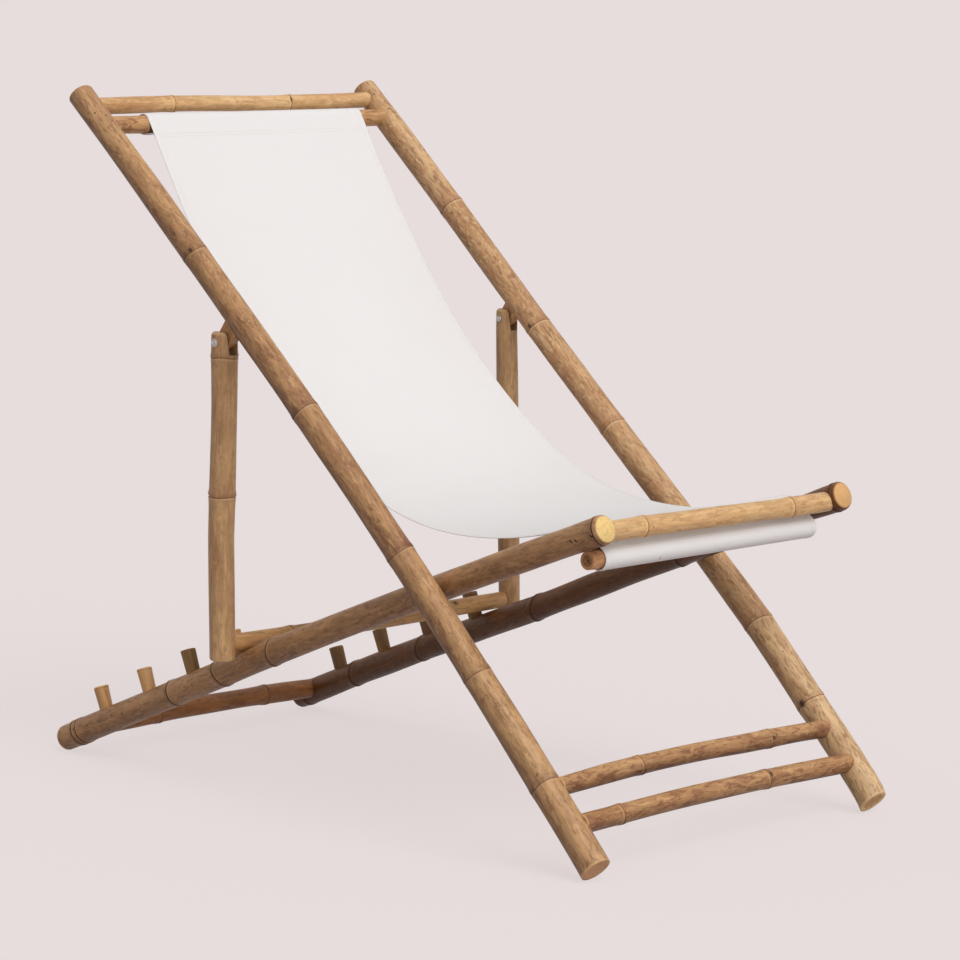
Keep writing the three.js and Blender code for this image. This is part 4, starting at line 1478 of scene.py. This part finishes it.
@dataclass
class BaseFrame:
    """The base rails with their bars and pegs, and the loose rod in the sling's front tunnel."""

    layout: Layout
    node_shares: dict[Side, Shares] = field(default_factory=lambda: {
        Side.LEFT: (0.0315, 0.0400, 0.233, 0.327, 0.430, 0.7, 0.9925),
        Side.RIGHT: (0.022, 0.1235, 0.259, 0.48, 0.738, 0.9925),
    })
    node_leans: dict[Side, dict[int, float]] = field(default_factory=lambda: {
        Side.LEFT: {0: 0.004, 1: 0.004, 2: 0.002, 3: 0.008, 4: -0.005, 5: -0.002},
        Side.RIGHT: {0: -0.003, 1: -0.004, 2: -0.007, 3: -0.008, 4: -0.004},
    })
    far_rail_bends: Pairs = (
        (0.0, 0.0), (0.259, -0.001), (0.48, -0.008), (0.738, -0.0045), (0.9925, -0.0015), (1.0, -0.0015),
    )
    sling_rod_radius: float = 0.0128
    sling_rod_ends: tuple[float, float] = (-0.2355, 0.1935)
    peg_radius: float = 0.010
    peg_top_radius: float = 0.0112
    peg_standout: float = 0.033
    peg_depth: float = 0.014
    first_peg: float = 0.109
    peg_pitch: float = 0.108
    peg_count: int = 4

    def rail(self, side: Side) -> Culm:
        """A base rail."""
        line = self.layout.base_line
        left = side is Side.LEFT
        return Culm(
            name=f"{side.value}_base_rail_culm", body="base_frame", replaced=f"{side.value}_base_rail",
            finish=NEAR_RAIL if left else FAR_RAIL,
            origin=line.point(side.sign * self.layout.base_x, 0.0), along=line.along, above=line.above,
            length=self.layout.base_length, start_radius=self.layout.base_radius,
            end_radius=self.layout.base_tip_radius, node_shares=self.node_shares[side],
            seed=31 if left else 32, bow=self.layout.base_bow, peak_share=self.layout.base_peak_share,
            start_form=EndForm.FOOT, end_form=EndForm.DOME, start_edge=0.0012, end_edge=0.0048,
            tip_swell=0.0008, flip=-1.0, ring_tilt=0.0014, leans=self.node_leans[side],
            bends=() if left else tuple((share, line.above * stray) for share, stray in self.far_rail_bends),
            # painted shade on the underside of each rail
            under=0.4 if left else 0.5, tones={7: -0.30} if left else {5: -0.08, 6: -0.6},
            scars=NEAR_RAIL_SCARS if left else (),
            stains={3: 0.3, 4: 0.5} if left else {3: 0.7, 4: 0.5, 5: 1.0},
        )

    def bars(self) -> list[Culm]:
        """The three bars of the base frame."""
        own = self.layout
        place = (own.base_line, own.base_length, own.base_offset)
        return [bar.culm("base_frame", bar_place(bar, *place), own.base_x) for bar in BASE_BARS]

    def sling_rod(self) -> Culm:
        """The loose rod in the sling's front tunnel."""
        low, high = (np.array(corner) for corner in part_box("front_sling_rod"))
        centre = (low + high) / 2
        length = self.sling_rod_ends[1] - self.sling_rod_ends[0]
        return Culm(
            name="front_sling_rod_cane", body="base_frame", replaced="front_sling_rod", finish=ROD_BAR,
            origin=np.array([self.sling_rod_ends[0], centre[1], centre[2]]),
            along=np.array([1.0, 0.0, 0.0]), above=np.array([0.0, 0.0, 1.0]), length=length,
            start_radius=self.sling_rod_radius, end_radius=self.sling_rod_radius, node_shares=(0.28, 0.7),
            seed=51, node_scale=0.8, node_reach=0.012, ring_tilt=0.0006, start_form=EndForm.HOLLOW,
            end_form=EndForm.HOLLOW, wall_share=0.60, start_edge=0.0012, end_edge=0.0012, around=40,
            spacing=0.007,
        )

    def peg(self, side: Side, index: int) -> Culm:
        """A peg, whose root is hidden in its rail."""
        line = self.layout.base_line
        distance = self.first_peg + self.peg_pitch * index
        root = self.layout.base_offset(distance) + self.layout.rail_radius(distance) - self.peg_depth
        name = f"{side.value}_peg_{index + 1}"
        return Culm(
            name=f"{name}_cane", body="base_frame", replaced=name,
            finish=DARK_PEG if side is Side.RIGHT or index == 2 else PEG_CANE,
            origin=line.point(side.sign * self.layout.base_x, distance, root), along=line.above,
            above=-line.along, length=self.peg_depth + self.peg_standout, start_radius=self.peg_radius,
            end_radius=self.peg_top_radius, node_shares=(0.93,),
            seed=61 + index + (10 if side is Side.RIGHT else 0), node_scale=0.12, node_reach=0.004,
            faint={0: 0.35}, ring_tilt=0.0003, start_edge=0.001, end_edge=0.0013, around=32,
            spacing=0.003,
        )

    def make(self) -> None:
        """Builds the whole base frame."""
        rails = {side: self.rail(side) for side in Side}
        for culm in [*rails.values(), *self.bars(), self.sling_rod()]:
            culm.make()
        for side in Side:
            for index in range(self.peg_count):
                self.peg(side, index).make()
        NailHeads("base_frame_nails", "base_frame").make(RAIL_NAILS, rails)


# The profiles of a pin's two ends, in shares of the head's rise and radius
PIN_HEAD = (
    (-1.0, 0.0), (-1.0, 0.35), (-0.9, 0.62), (-0.7, 0.84), (-0.42, 1.0), (-0.22, 1.0), (-0.20, 1.225),
    (-0.05, 1.25), (0.10, 1.25),
)
PIN_CLENCH = ((0.0, 1.0), (0.4, 0.97), (0.8, 0.7), (0.95, 0.4), (0.95, 0.0))
CRISP_ANGLE = math.radians(38)


@dataclass
class PropFrame:
    """The forked struts, their crossbar and the riveted hinge pins."""

    layout: Layout
    radii: dict[Side, float] = field(default_factory=lambda: {Side.LEFT: 0.0186, Side.RIGHT: 0.0162})
    node_shares: dict[Side, Shares] = field(default_factory=lambda: {
        Side.LEFT: (0.5, 0.919),
        Side.RIGHT: (0.46,),
    })
    strut_bends: dict[Side, Bends] = field(default_factory=lambda: {
        Side.LEFT: ((0.0, (-0.001, 0.0, 0.0)), (0.38, (-0.003, 0.002, 0.0)), (0.78, (0.0, 0.0, 0.0))),
        Side.RIGHT: ((0.0, (0.008, -0.0080, 0.0)), (0.92, (0.0, 0.0, 0.0))),
    })
    below_crossbar: float = 0.023
    above_pin: float = 0.0155
    slot_width: float = 0.0142
    slot_flare: float = 0.0035
    slot_below_pin: float = 0.0155
    notch_depth: float = 0.005
    pin_radius: float = 0.003
    head_radius: float = 0.0047
    head_rise: float = 0.0024

    @property
    def reach(self) -> float:
        """The distance from the crossbar to the hinge pins."""
        return float(np.linalg.norm((self.layout.prop_pin - self.layout.prop_seat)[1:]))

    def strut(self, side: Side) -> Culm:
        """A strut before its fork is cut."""
        line = self.layout.strut_line
        return Culm(
            name=f"{side.value}_prop_strut_culm", body="prop_frame", replaced=f"{side.value}_prop_strut",
            finish=STRUT_CULM, origin=line.point(side.sign * self.layout.back_x, -self.below_crossbar),
            along=line.along, above=line.above, length=self.below_crossbar + self.reach + self.above_pin,
            start_radius=self.radii[side], end_radius=self.radii[side],
            node_shares=self.node_shares[side], seed=71 if side is Side.LEFT else 72, node_scale=0.9,
            start_edge=0.0035, end_edge=0.0065, ring_tilt=0.0018, around=64, spacing=0.005,
            # painted shade on the underside of each strut
            stains={0: 0.4}, under=0.3 if side is Side.LEFT else 0.5, bends=self.strut_bends[side],
        )

    def fork_cutter(self, side: Side) -> Piece:
        """The solid that is cut from a strut's top to leave a fork."""
        line = self.layout.strut_line
        wide = self.radii[side] * 1.5
        narrow = self.slot_width / 2
        flared = narrow + self.slot_flare * (self.slot_below_pin + self.above_pin * 3) / (
            self.slot_below_pin + self.above_pin
        )
        floor = -self.slot_below_pin - self.notch_depth
        outline = [
            (self.above_pin * 3, -wide, flared), (self.above_pin * 3, wide, flared),
            (-self.slot_below_pin, wide, narrow), (floor + self.notch_depth * 0.3, wide * 0.2, narrow),
            (floor, 0.0, narrow), (floor + self.notch_depth * 0.3, -wide * 0.2, narrow),
            (-self.slot_below_pin, -wide, narrow),
        ]
        points = []
        for sign in (-1.0, 1.0):
            for along, above, half in outline:
                x = side.sign * self.layout.back_x + sign * half
                points.append(line.point(x, self.reach + along, above))
        count = len(outline)
        upper, lower = (0, 1, 2, 6), (2, 3, 4, 5, 6)
        faces = [upper, lower]
        faces += [tuple(count + i for i in reversed(face)) for face in (upper, lower)]
        faces += [tuple(face) for face in ring_faces(0, count, count)]
        mesh = make_mesh(f"{side.value}_fork_cutter", np.array(points), faces)
        fix_normals(mesh)
        return add_object(f"{side.value}_fork_cutter", mesh)

    def make_forked(self, culm: Culm, side: Side) -> None:
        """Builds a strut and cuts its fork."""
        blank = add_object(f"{side.value}_strut_blank", culm.build())
        cutter = self.fork_cutter(side)
        cut = blank.modifiers.new("fork", "BOOLEAN")
        cut.operation = "DIFFERENCE"
        cut.solver = "EXACT"
        cut.object = cutter
        bpy.context.view_layer.update()
        shaped = blank.evaluated_get(bpy.context.evaluated_depsgraph_get())
        mesh = bpy.data.meshes.new_from_object(shaped)
        mesh.name = culm.name
        for spare in (blank, cutter):
            bpy.data.objects.remove(spare)
        mesh.materials.clear()
        mesh.polygons.foreach_set("use_smooth", [True] * len(mesh.polygons))
        mesh.set_sharp_from_angle(angle=CRISP_ANGLE)
        culm.dress(mesh)
        add_piece(culm.name, mesh, culm.finish, culm.body, culm.replaced)

    def pin(self, side: Side) -> None:
        """A hinge pin: a domed head on a washer outside and a clenched end inside."""
        grip = self.radii[side] + 0.0003
        head = self.head_radius
        rise = self.head_rise
        profile = [(rise * height - grip, head * share) for height, share in PIN_HEAD]
        profile += [(rise * PIN_HEAD[-1][0] - grip, self.pin_radius), (grip, self.pin_radius)]
        profile += [(rise * height + grip, head * share) for height, share in PIN_CLENCH]
        centre = np.array([side.sign * self.layout.back_x, *self.layout.prop_pin[1:]])
        axis = np.array([-side.sign, 0.0, 0.0])
        points, faces = revolve(profile, centre, axis, 40)
        name = f"{side.value}_rivet_pin"
        mesh = make_mesh(name, points, faces)
        node = f"{side.value}_hinge_pin"
        flatten_wide_faces(add_piece(name, mesh, PIN_STEEL, "prop_frame", node))

    def make(self) -> None:
        """Builds the whole prop frame."""
        struts = {side: self.strut(side) for side in Side}
        for side, strut in struts.items():
            self.make_forked(strut, side)
            self.pin(side)
        PROP_CROSSBAR.culm("prop_frame", self.layout.prop_seat, self.layout.back_x).make()
        spots = {Side.LEFT: [(self.below_crossbar, 178.0)], Side.RIGHT: [(self.below_crossbar, 2.0)]}
        NailHeads("prop_frame_nails", "prop_frame").make(spots, struts)


def travelled(path: Array) -> Array:
    """How far along a path each of its points is."""
    return np.concatenate([[0.0], np.cumsum(np.linalg.norm(np.diff(path, axis=0), axis=1))])


def sample(rows: Array, known: Array, places: Array | float) -> Array:
    """Rows of two values that are known at some distances, at other distances."""
    return np.stack([np.interp(places, known, rows[:, axis]) for axis in (0, 1)], axis=-1)


def point_at(path: Array, distance: float) -> Array:
    """The point at a distance along a path."""
    return sample(path, travelled(path), distance)


def left_of(path: Array) -> Array:
    """The unit vectors to the left of a path's direction."""
    step = np.gradient(path, axis=0)
    step /= np.linalg.norm(step, axis=1)[:, None]
    return np.stack([-step[:, 1], step[:, 0]], axis=1)


def turned(radius: float, angle: float) -> Array:
    """The vector of that length at an angle in the side plane."""
    return radius * np.array([math.cos(angle), math.sin(angle)])


@dataclass
class Cloth:
    """The canvas's middle line, with the distances where the back starts and the seat ends."""

    line: Array
    start: float
    end: float

    def __post_init__(self) -> None:
        """Works out how far along the line each point is and which way is left of it."""
        self.lengths = travelled(self.line)
        self.left = left_of(self.line)
        self.total = float(self.lengths[-1])


@dataclass
class Sling:
    """The canvas: a long cloth with a tunnel at each end, hung from the top rod to the seat."""

    width: float = 0.421
    drifts: tuple[float, float, float] = (0.006, -0.0045, -0.0070)
    bend_start: float = 0.40
    bend_end: float = 0.02
    thickness: float = 0.0013
    flap_gap: float = 0.0002
    fit: float = 0.0009
    node_rise: float = 0.0009
    top_rod_radius: float = 0.013
    seat_rail_radius: float = 0.014
    front_rod_radius: float = 0.0128
    back_angle: float = math.radians(59.5)
    seat_angle: float = math.radians(16.6)
    back_reach_share: float = 0.49
    seat_reach_share: float = 0.41
    top_seam_reach: float = 0.027
    front_seam_reach: float = 0.022
    seam_height: float = 0.009
    hem_width: float = 0.011
    hem_rise: float = 0.0003
    row_step: float = 0.0055
    columns: int = 76
    stitch_pitch: float = 0.0042
    stitch_length: float = 0.0029
    stitch_radius: float = 0.00024
    stitch_sides: int = 6
    stitch_arch: Shares = (-0.4, 0.75, 0.75, -0.4)

    @staticmethod
    def middle(node: str) -> Array:
        """The centre of a CAD node in the side plane."""
        low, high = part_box(node)
        return np.array([(low[1] + high[1]) / 2, (low[2] + high[2]) / 2])

    @staticmethod
    def arc(centre: Array, radius: float, start: float, end: float) -> Array:
        """Points on an arc between two angles."""
        steps = max(2, round(abs(end - start) / math.radians(7)))
        turns = np.linspace(start, end, steps + 1)
        return centre + radius * np.stack([np.cos(turns), np.sin(turns)], axis=1)

    @staticmethod
    def flap_angle(point: Array, centre: Array, radius: float, turn: float) -> float:
        """The angle at which a straight flap from a point touches a wrapped circle."""
        away = point - centre
        reach = float(np.linalg.norm(away))
        angle = math.atan2(away[1], away[0]) + turn * math.acos(radius / reach)
        return angle % (2 * math.pi)

    def path(self) -> Cloth:
        """The canvas's middle line in the side plane, from the top flap to the front flap."""
        offset = self.thickness + self.flap_gap
        fit = self.node_rise + self.fit
        top, seat, front = (self.middle(n) for n in ("top_sling_rod", "seat_rail", "front_sling_rod"))
        top_wrap = self.top_rod_radius + fit
        seat_wrap = self.seat_rail_radius + fit
        front_wrap = self.front_rod_radius + fit
        leave_angle = math.pi / 2 + self.back_angle
        meet_angle = math.pi / 2 - self.seat_angle
        leave = top + turned(top_wrap, leave_angle)
        meet = seat + turned(seat_wrap, meet_angle)
        chord = float(np.linalg.norm(leave - meet))
        down = leave + turned(chord * self.back_reach_share, math.pi + self.back_angle)
        into = meet + turned(chord * self.seat_reach_share, -self.seat_angle)
        t = np.linspace(0.0, 1.0, 400)[:, None]
        weights = [(1 - t) ** 3, 3 * t * (1 - t) ** 2, 3 * t ** 2 * (1 - t), t ** 3]
        hang = sum(weight * handle for weight, handle in zip(weights, (leave, down, into, meet)))

        drop = front - seat
        tilt = math.asin((seat_wrap - front_wrap) / float(np.linalg.norm(drop)))
        normal = math.atan2(drop[1], drop[0]) % (2 * math.pi) - math.pi / 2 + tilt
        seat_arc = self.arc(seat, seat_wrap, meet_angle, normal)
        meet_rod = front + turned(front_wrap, normal)

        half_seam = self.seam_height / 2
        inner = hang + left_of(hang) * offset
        top_flap = [point_at(inner, self.top_seam_reach + side) for side in (half_seam, -half_seam)]
        touch = self.flap_angle(top_flap[-1], top, top_wrap, 1.0)
        top_arc = self.arc(top, top_wrap, touch - 2 * math.pi, leave_angle)

        straight = np.linspace(meet_rod, seat_arc[-1], 30)
        inside = straight - left_of(straight) * offset
        front_flap = [point_at(inside, self.front_seam_reach + side) for side in (-half_seam, half_seam)]
        front_touch = self.flap_angle(front_flap[0], front, front_wrap, -1.0)
        front_arc = self.arc(front, front_wrap, normal, front_touch + 2 * math.pi)

        line = np.vstack([top_flap, top_arc, hang[1:], seat_arc[1:], front_arc, front_flap])
        lengths = travelled(line)
        start = len(top_flap) + len(top_arc) - 1
        hang_end = lengths[start + len(hang) - 1]
        even = np.linspace(0.0, lengths[-1], round(lengths[-1] / self.row_step) + 1)
        bends = np.concatenate([lengths[: start + 2], lengths[lengths > hang_end - 0.01]])
        places = np.unique(np.round(np.concatenate([even, bends]), 6))
        places = places[np.concatenate([[True], np.diff(places) > 0.0004])]
        return Cloth(sample(line, lengths, places), float(lengths[start]), float(hang_end))

    def drift(self, place: Array, cloth: Cloth) -> Array:
        """How far the cloth's middle line strays sideways on its way down."""
        return np.interp(place, (0.0, cloth.end, cloth.total), self.drifts)

    def ripple(self, x: Array, place: Array, cloth: Cloth) -> Array:
        """How far the hanging cloth strays to the left of its smooth path.

        Args:
            x: Places across the cloth.
            place: Distances along it.
            cloth: The cloth's line.

        Returns:
            The stray at each place.
        """
        share = np.clip((place - cloth.start) / (cloth.end - cloth.start), 0.0, 1.0)
        free = np.sin(math.pi * share) ** 0.6
        edge = np.abs(x) / (self.width / 2)
        belly = -0.0035 * (1 - edge ** 2) * np.sin(math.pi * share)
        folds = 0.0011 * np.sin(x * 46.0 + 2.4 * np.sin(share * 5.0)) * np.exp(-share / 0.16)
        folds += 0.0009 * np.sin(x * 61.0 + 1.0 + 2.0 * share) * np.exp(-(1 - share) / 0.12)
        curl = 0.0022 * edge ** 6 * np.sin(share * 9.0 + 0.5 * np.sign(x))
        slack = 0.0010 * np.sin(share * 21.0 + x * 4.0) * edge ** 2
        return free * (belly + folds + curl + slack)

    def make(self) -> None:
        """Builds the canvas and its stitching, and hangs them between the frames."""
        cloth = self.path()
        canvas = add_object("sling_canvas", self.canvas_mesh(cloth), CANVAS)
        stitches = self.stitching(cloth)
        for piece, slot in ((canvas, CANVAS.slot), (stitches, THREAD.slot)):
            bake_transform(piece)
            log.info("%s, %d points", piece.name, len(piece.data.vertices))
        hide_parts("sling")
        log.info("canvas cut to %.3f by %.3f m", self.width, cloth.total)

    def canvas_mesh(self, cloth: Cloth) -> Mesh:
        """The canvas as a closed sheet, thicker where its hems are folded."""
        half_width = self.width / 2
        hem = self.hem_width
        inner = np.linspace(-half_width + hem * 1.15, half_width - hem * 1.15, self.columns)
        rim = hem * np.array([0.0, 0.05, 0.25, 0.6, 0.9, 1.0, 1.07])
        x = np.concatenate([-half_width + rim, inner, half_width - rim[::-1]])
        flat_x, grid_s = np.meshgrid(x, cloth.lengths)
        grid_x = flat_x + self.drift(grid_s, cloth)
        from_edge = half_width - np.abs(flat_x)
        folded = np.clip((hem * 1.02 - from_edge) / (hem * 0.1), 0.0, 1.0)
        rounding = np.sqrt(np.clip(from_edge / (hem * 0.12), 0.04, 1.0))
        half = (self.thickness / 2 + self.hem_rise * folded) * rounding
        stray = self.ripple(flat_x, grid_s, cloth)
        layers = []
        for shift in (stray + half, stray - half):
            spots = [cloth.line[:, axis, None] + cloth.left[:, axis, None] * shift for axis in (0, 1)]
            layers.append(np.stack([grid_x, *spots], axis=2).reshape(-1, 3))
        mesh = make_mesh("sling_canvas", np.concatenate(layers), self.sheet_faces(*grid_x.shape))
        fix_normals(mesh)
        flat = np.stack([grid_x, grid_s, np.zeros_like(grid_x)], axis=2).reshape(-1, 3)
        seam = self.seam_mask(flat_x, grid_s, cloth.total).ravel()
        store(mesh, cloth=np.concatenate([flat, flat + [0.0, 0.0, 0.5]]), seam_mask=np.tile(seam, 2))
        return mesh

    @staticmethod
    def sheet_faces(rows: int, columns: int) -> Array:
        """The faces of two layers of points and the rim between them."""
        grid = np.arange(rows * columns).reshape(rows, columns)
        a, b = grid[:-1, :-1].ravel(), grid[:-1, 1:].ravel()
        c, d = grid[1:, 1:].ravel(), grid[1:, :-1].ravel()
        back = rows * columns
        upper = np.stack([a, b, c, d], axis=1)
        lower = np.stack([d, c, b, a], axis=1) + back
        border = np.concatenate([grid[0, :-1], grid[:-1, -1], grid[-1, :0:-1], grid[:0:-1, 0]])
        after = np.roll(border, -1)
        rim = np.stack([after, border, border + back, after + back], axis=1)
        return np.concatenate([upper, lower, rim])

    def seam_mask(self, x: Array, place: Array, total: float) -> Array:
        """1 on the hems and the seams, 0 elsewhere."""
        from_edge = self.width / 2 - np.abs(x)
        hem = np.clip(1.0 - np.abs(from_edge - self.hem_width) / 0.002, 0.0, 1.0)
        seam = np.clip(1.0 - np.minimum(place, total - place) / (self.seam_height * 1.3), 0.0, 1.0)
        return np.maximum(hem, seam)

    def stitching(self, cloth: Cloth) -> Piece:
        """Rows of stitches along the hems and the two tunnel seams, on both faces."""
        hem_x = self.width / 2 - self.hem_width * 0.82
        step = self.stitch_length / 2
        down = np.arange(0.012, cloth.total - 0.012, self.stitch_pitch)
        across = np.arange(-hem_x, hem_x, self.stitch_pitch)
        top_seam = cloth.start + self.top_seam_reach
        front_seam = cloth.end + self.seat_drop()
        rows = [(np.full(len(down), x), down, 0.0, step) for x in (-hem_x, hem_x)]
        for place in (top_seam - 0.0025, top_seam + 0.0025, front_seam - 0.002, front_seam + 0.002):
            rows.append((across, np.full(len(across), place), step, 0.0))
        points: list[Array] = []
        faces: Faces = []
        for xs, places, half_x, half_s in rows:
            lift = self.thickness / 2 + (self.hem_rise if half_s else 0.0)
            for x, place in zip(xs, places):
                ends = np.array([[x - half_x, place - half_s], [x + half_x, place + half_s]])
                for sign in (1.0, -1.0):
                    self.add_stitch(points, faces, cloth, ends, sign * lift)
        mesh = make_mesh("sling_stitches", np.array(points), faces)
        fix_normals(mesh)
        spots = mesh_points(mesh)
        store(mesh, cloth=spots, seam_mask=np.zeros(len(spots)))
        return add_object("sling_stitches", mesh, THREAD)

    def seat_drop(self) -> float:
        """How far past the start of the seat rail the front seam lies."""
        seat, front = self.middle("seat_rail"), self.middle("front_sling_rod")
        wrap = self.seat_rail_radius + self.node_rise + self.fit
        bent = wrap * (math.pi / 2 - self.seat_angle + math.radians(60))
        return bent + float(np.linalg.norm(seat - front)) - self.front_seam_reach

    def add_stitch(
        self, points: list[Array], faces: Faces, cloth: Cloth, ends: Array, lift: float
    ) -> None:
        """Adds one stitch, a short arched thread between two places, to the points and faces."""
        count, sides = len(self.stitch_arch), self.stitch_sides
        xs, places = (ends[0] + (ends[1] - ends[0]) * np.linspace(0.0, 1.0, count)[:, None]).T
        side = 1.0 if lift > 0 else -1.0
        arch = side * np.array(self.stitch_arch) * self.stitch_radius
        shift = (self.ripple(xs, places, cloth) + lift + arch)[:, None]
        normals = sample(cloth.left, cloth.lengths, places)
        centres = sample(cloth.line, cloth.lengths, places)
        spine = np.column_stack([xs + self.drift(places, cloth), centres + normals * shift])
        up = np.column_stack([np.zeros(count), normals * side])
        forward = spine[-1] - spine[0]
        across = np.cross(forward / np.linalg.norm(forward), up)
        first = len(points)
        turns = np.linspace(0.0, 2 * math.pi, sides, endpoint=False)
        for i in range(count):
            size = self.stitch_radius * (0.55 if i in (0, count - 1) else 1.0)
            points.extend(
                spine[i] + size * (math.cos(t) * across[i] + math.sin(t) * up[i]) for t in turns
            )
        faces.append(tuple(range(first, first + sides)))
        last = first + (count - 1) * sides
        for low in range(first, last, sides):
            faces.extend(tuple(face[::-1]) for face in ring_faces(low, low + sides, sides))
        faces.append(tuple(reversed(range(last, last + sides))))


def direction(azimuth: float, elevation: float) -> Vector:
    """The direction from the chair towards something at those angles."""
    flat = math.cos(elevation)
    return Vector((math.sin(azimuth) * flat, -math.cos(azimuth) * flat, math.sin(elevation)))


def place_at(name: str, data: bpy.types.ID, turn: Quaternion) -> Piece:
    """Adds a camera or a lamp with its turn."""
    made = bpy.data.objects.new(name, data)
    made.rotation_mode = "QUATERNION"
    made.rotation_quaternion = turn
    bpy.context.scene.collection.objects.link(made)
    return made


@dataclass(frozen=True)
class Lamp:
    """A soft lamp that is far away: its light, where it stands and how wide it looks."""

    name: str
    strength: float
    azimuth: float
    elevation: float
    softness: float
    colour: tuple[float, float, float] = (1.0, 0.99, 0.985)

    @property
    def lit_share(self) -> float:
        """How brightly it lights a white floor."""
        return self.strength * math.sin(math.radians(self.elevation)) / math.pi

    def make(self) -> None:
        """Adds the lamp."""
        data = bpy.data.lights.new(self.name, "SUN")
        data.energy = self.strength
        data.angle = math.radians(self.softness)
        data.color = self.colour
        aim = -direction(math.radians(self.azimuth), math.radians(self.elevation))
        place_at(self.name, data, aim.to_track_quat("-Z", "Y"))


@dataclass
class Studio:
    """The camera, the soft lights and the pale floor."""

    camera_place: tuple[float, float, float] = (-3.5323, -3.6164, 1.0980)
    azimuth: float = math.radians(-44.910)
    elevation: float = math.radians(7.413)
    roll: float = -0.0005
    lens: float = 133.92
    sensor: float = 36.0
    view_reach: float = 300.0
    backdrop: Colour = paint(230, 221, 220)
    sky_strength: float = 0.46
    lamps: tuple[Lamp, ...] = (
        Lamp("key", 1.70, -8.0, 49.0, 42.0),
        Lamp("fill", 0.68, -18.0, 6.0, 50.0),
    )
    bounce_share: float = 0.62
    shadow_share: float = 0.16
    floor_reach: float = 60.0

    def camera(self) -> None:
        """Sets the camera where the photograph was taken from."""
        data = bpy.data.cameras.new("camera")
        data.lens = self.lens
        data.sensor_width = self.sensor
        data.clip_end = self.view_reach
        aim = (-direction(self.azimuth, self.elevation)).to_track_quat("-Z", "Y")
        made = place_at("camera", data, aim @ Quaternion((0.0, 0.0, 1.0), self.roll))
        made.location = self.camera_place
        bpy.context.scene.camera = made

    @staticmethod
    def seen(graph: Graph) -> Socket:
        """1 for a ray that shows the backdrop: to the camera, in gloss or through glass."""
        path = graph.add("ShaderNodeLightPath")
        glossy = graph.math("MAXIMUM", path.outputs["Is Glossy Ray"], path.outputs["Is Transmission Ray"])
        return graph.math("MAXIMUM", path.outputs["Is Camera Ray"], glossy)

    def sky(self) -> None:
        """Lights the scene evenly and shows the backdrop's colour."""
        world = bpy.data.worlds.new("studio")
        graph = Graph.fresh(world)
        white = {"Color": (1.0, 1.0, 1.0, 1.0), "Strength": self.sky_strength}
        light = graph.result("ShaderNodeBackground", white)
        shown = graph.result("ShaderNodeBackground", {"Color": self.backdrop})
        graph.show("ShaderNodeOutputWorld", graph.either(self.seen(graph), light, shown))
        bpy.context.scene.world = world

    def floor(self) -> None:
        """Adds the floor, which shows the backdrop's colour and a faint shadow."""
        reach = self.floor_reach
        corners = [(-reach, -reach, 0.0), (reach, -reach, 0.0), (reach, reach, 0.0), (-reach, reach, 0.0)]
        mesh = make_mesh("floor", np.array(corners), [(0, 1, 2, 3)])
        material = bpy.data.materials.new("floor")
        graph = Graph.fresh(material)
        lit_share = self.sky_strength + sum(lamp.lit_share for lamp in self.lamps)
        seen_tint = (*(min(1.0, value / lit_share) for value in self.backdrop[:3]), 1.0)
        dimmed = tuple(value * self.bounce_share for value in self.backdrop)
        lit = graph.result("ShaderNodeBsdfDiffuse", {"Color": seen_tint})
        plain = graph.result("ShaderNodeEmission", {"Color": self.backdrop})
        bounce = graph.result("ShaderNodeBsdfDiffuse", {"Color": dimmed})
        shown = graph.either(1.0 - self.shadow_share, lit, plain)
        graph.show("ShaderNodeOutputMaterial", graph.either(self.seen(graph), bounce, shown))
        mesh.materials.append(material)
        add_object("floor", mesh)

    def make(self) -> None:
        """Sets up the whole studio."""
        self.camera()
        for lamp in self.lamps:
            lamp.make()
        self.sky()
        self.floor()
        bpy.context.scene.view_settings.view_transform = "Standard"


def dress_crossing_pins() -> None:
    """Gives the hidden dowels between pole and rail their steel."""
    for side in Side:
        node = frame["nodes"][f"{side.value}_crossing_pin"]
        node.data.materials.clear()
        node.data.materials.append(PIN_STEEL.material())
        log.info("%s keeps its solid", node.name)


def main() -> None:
    """Builds the chair in its studio."""
    logging.basicConfig(level=logging.INFO, format="%(message)s")
    layout = read_layout()
    Studio().make()
    BackFrame(layout).make()
    BaseFrame(layout).make()
    PropFrame(layout).make()
    Sling().make()
    dress_crossing_pins()


if __name__ == "__main__":
    main()
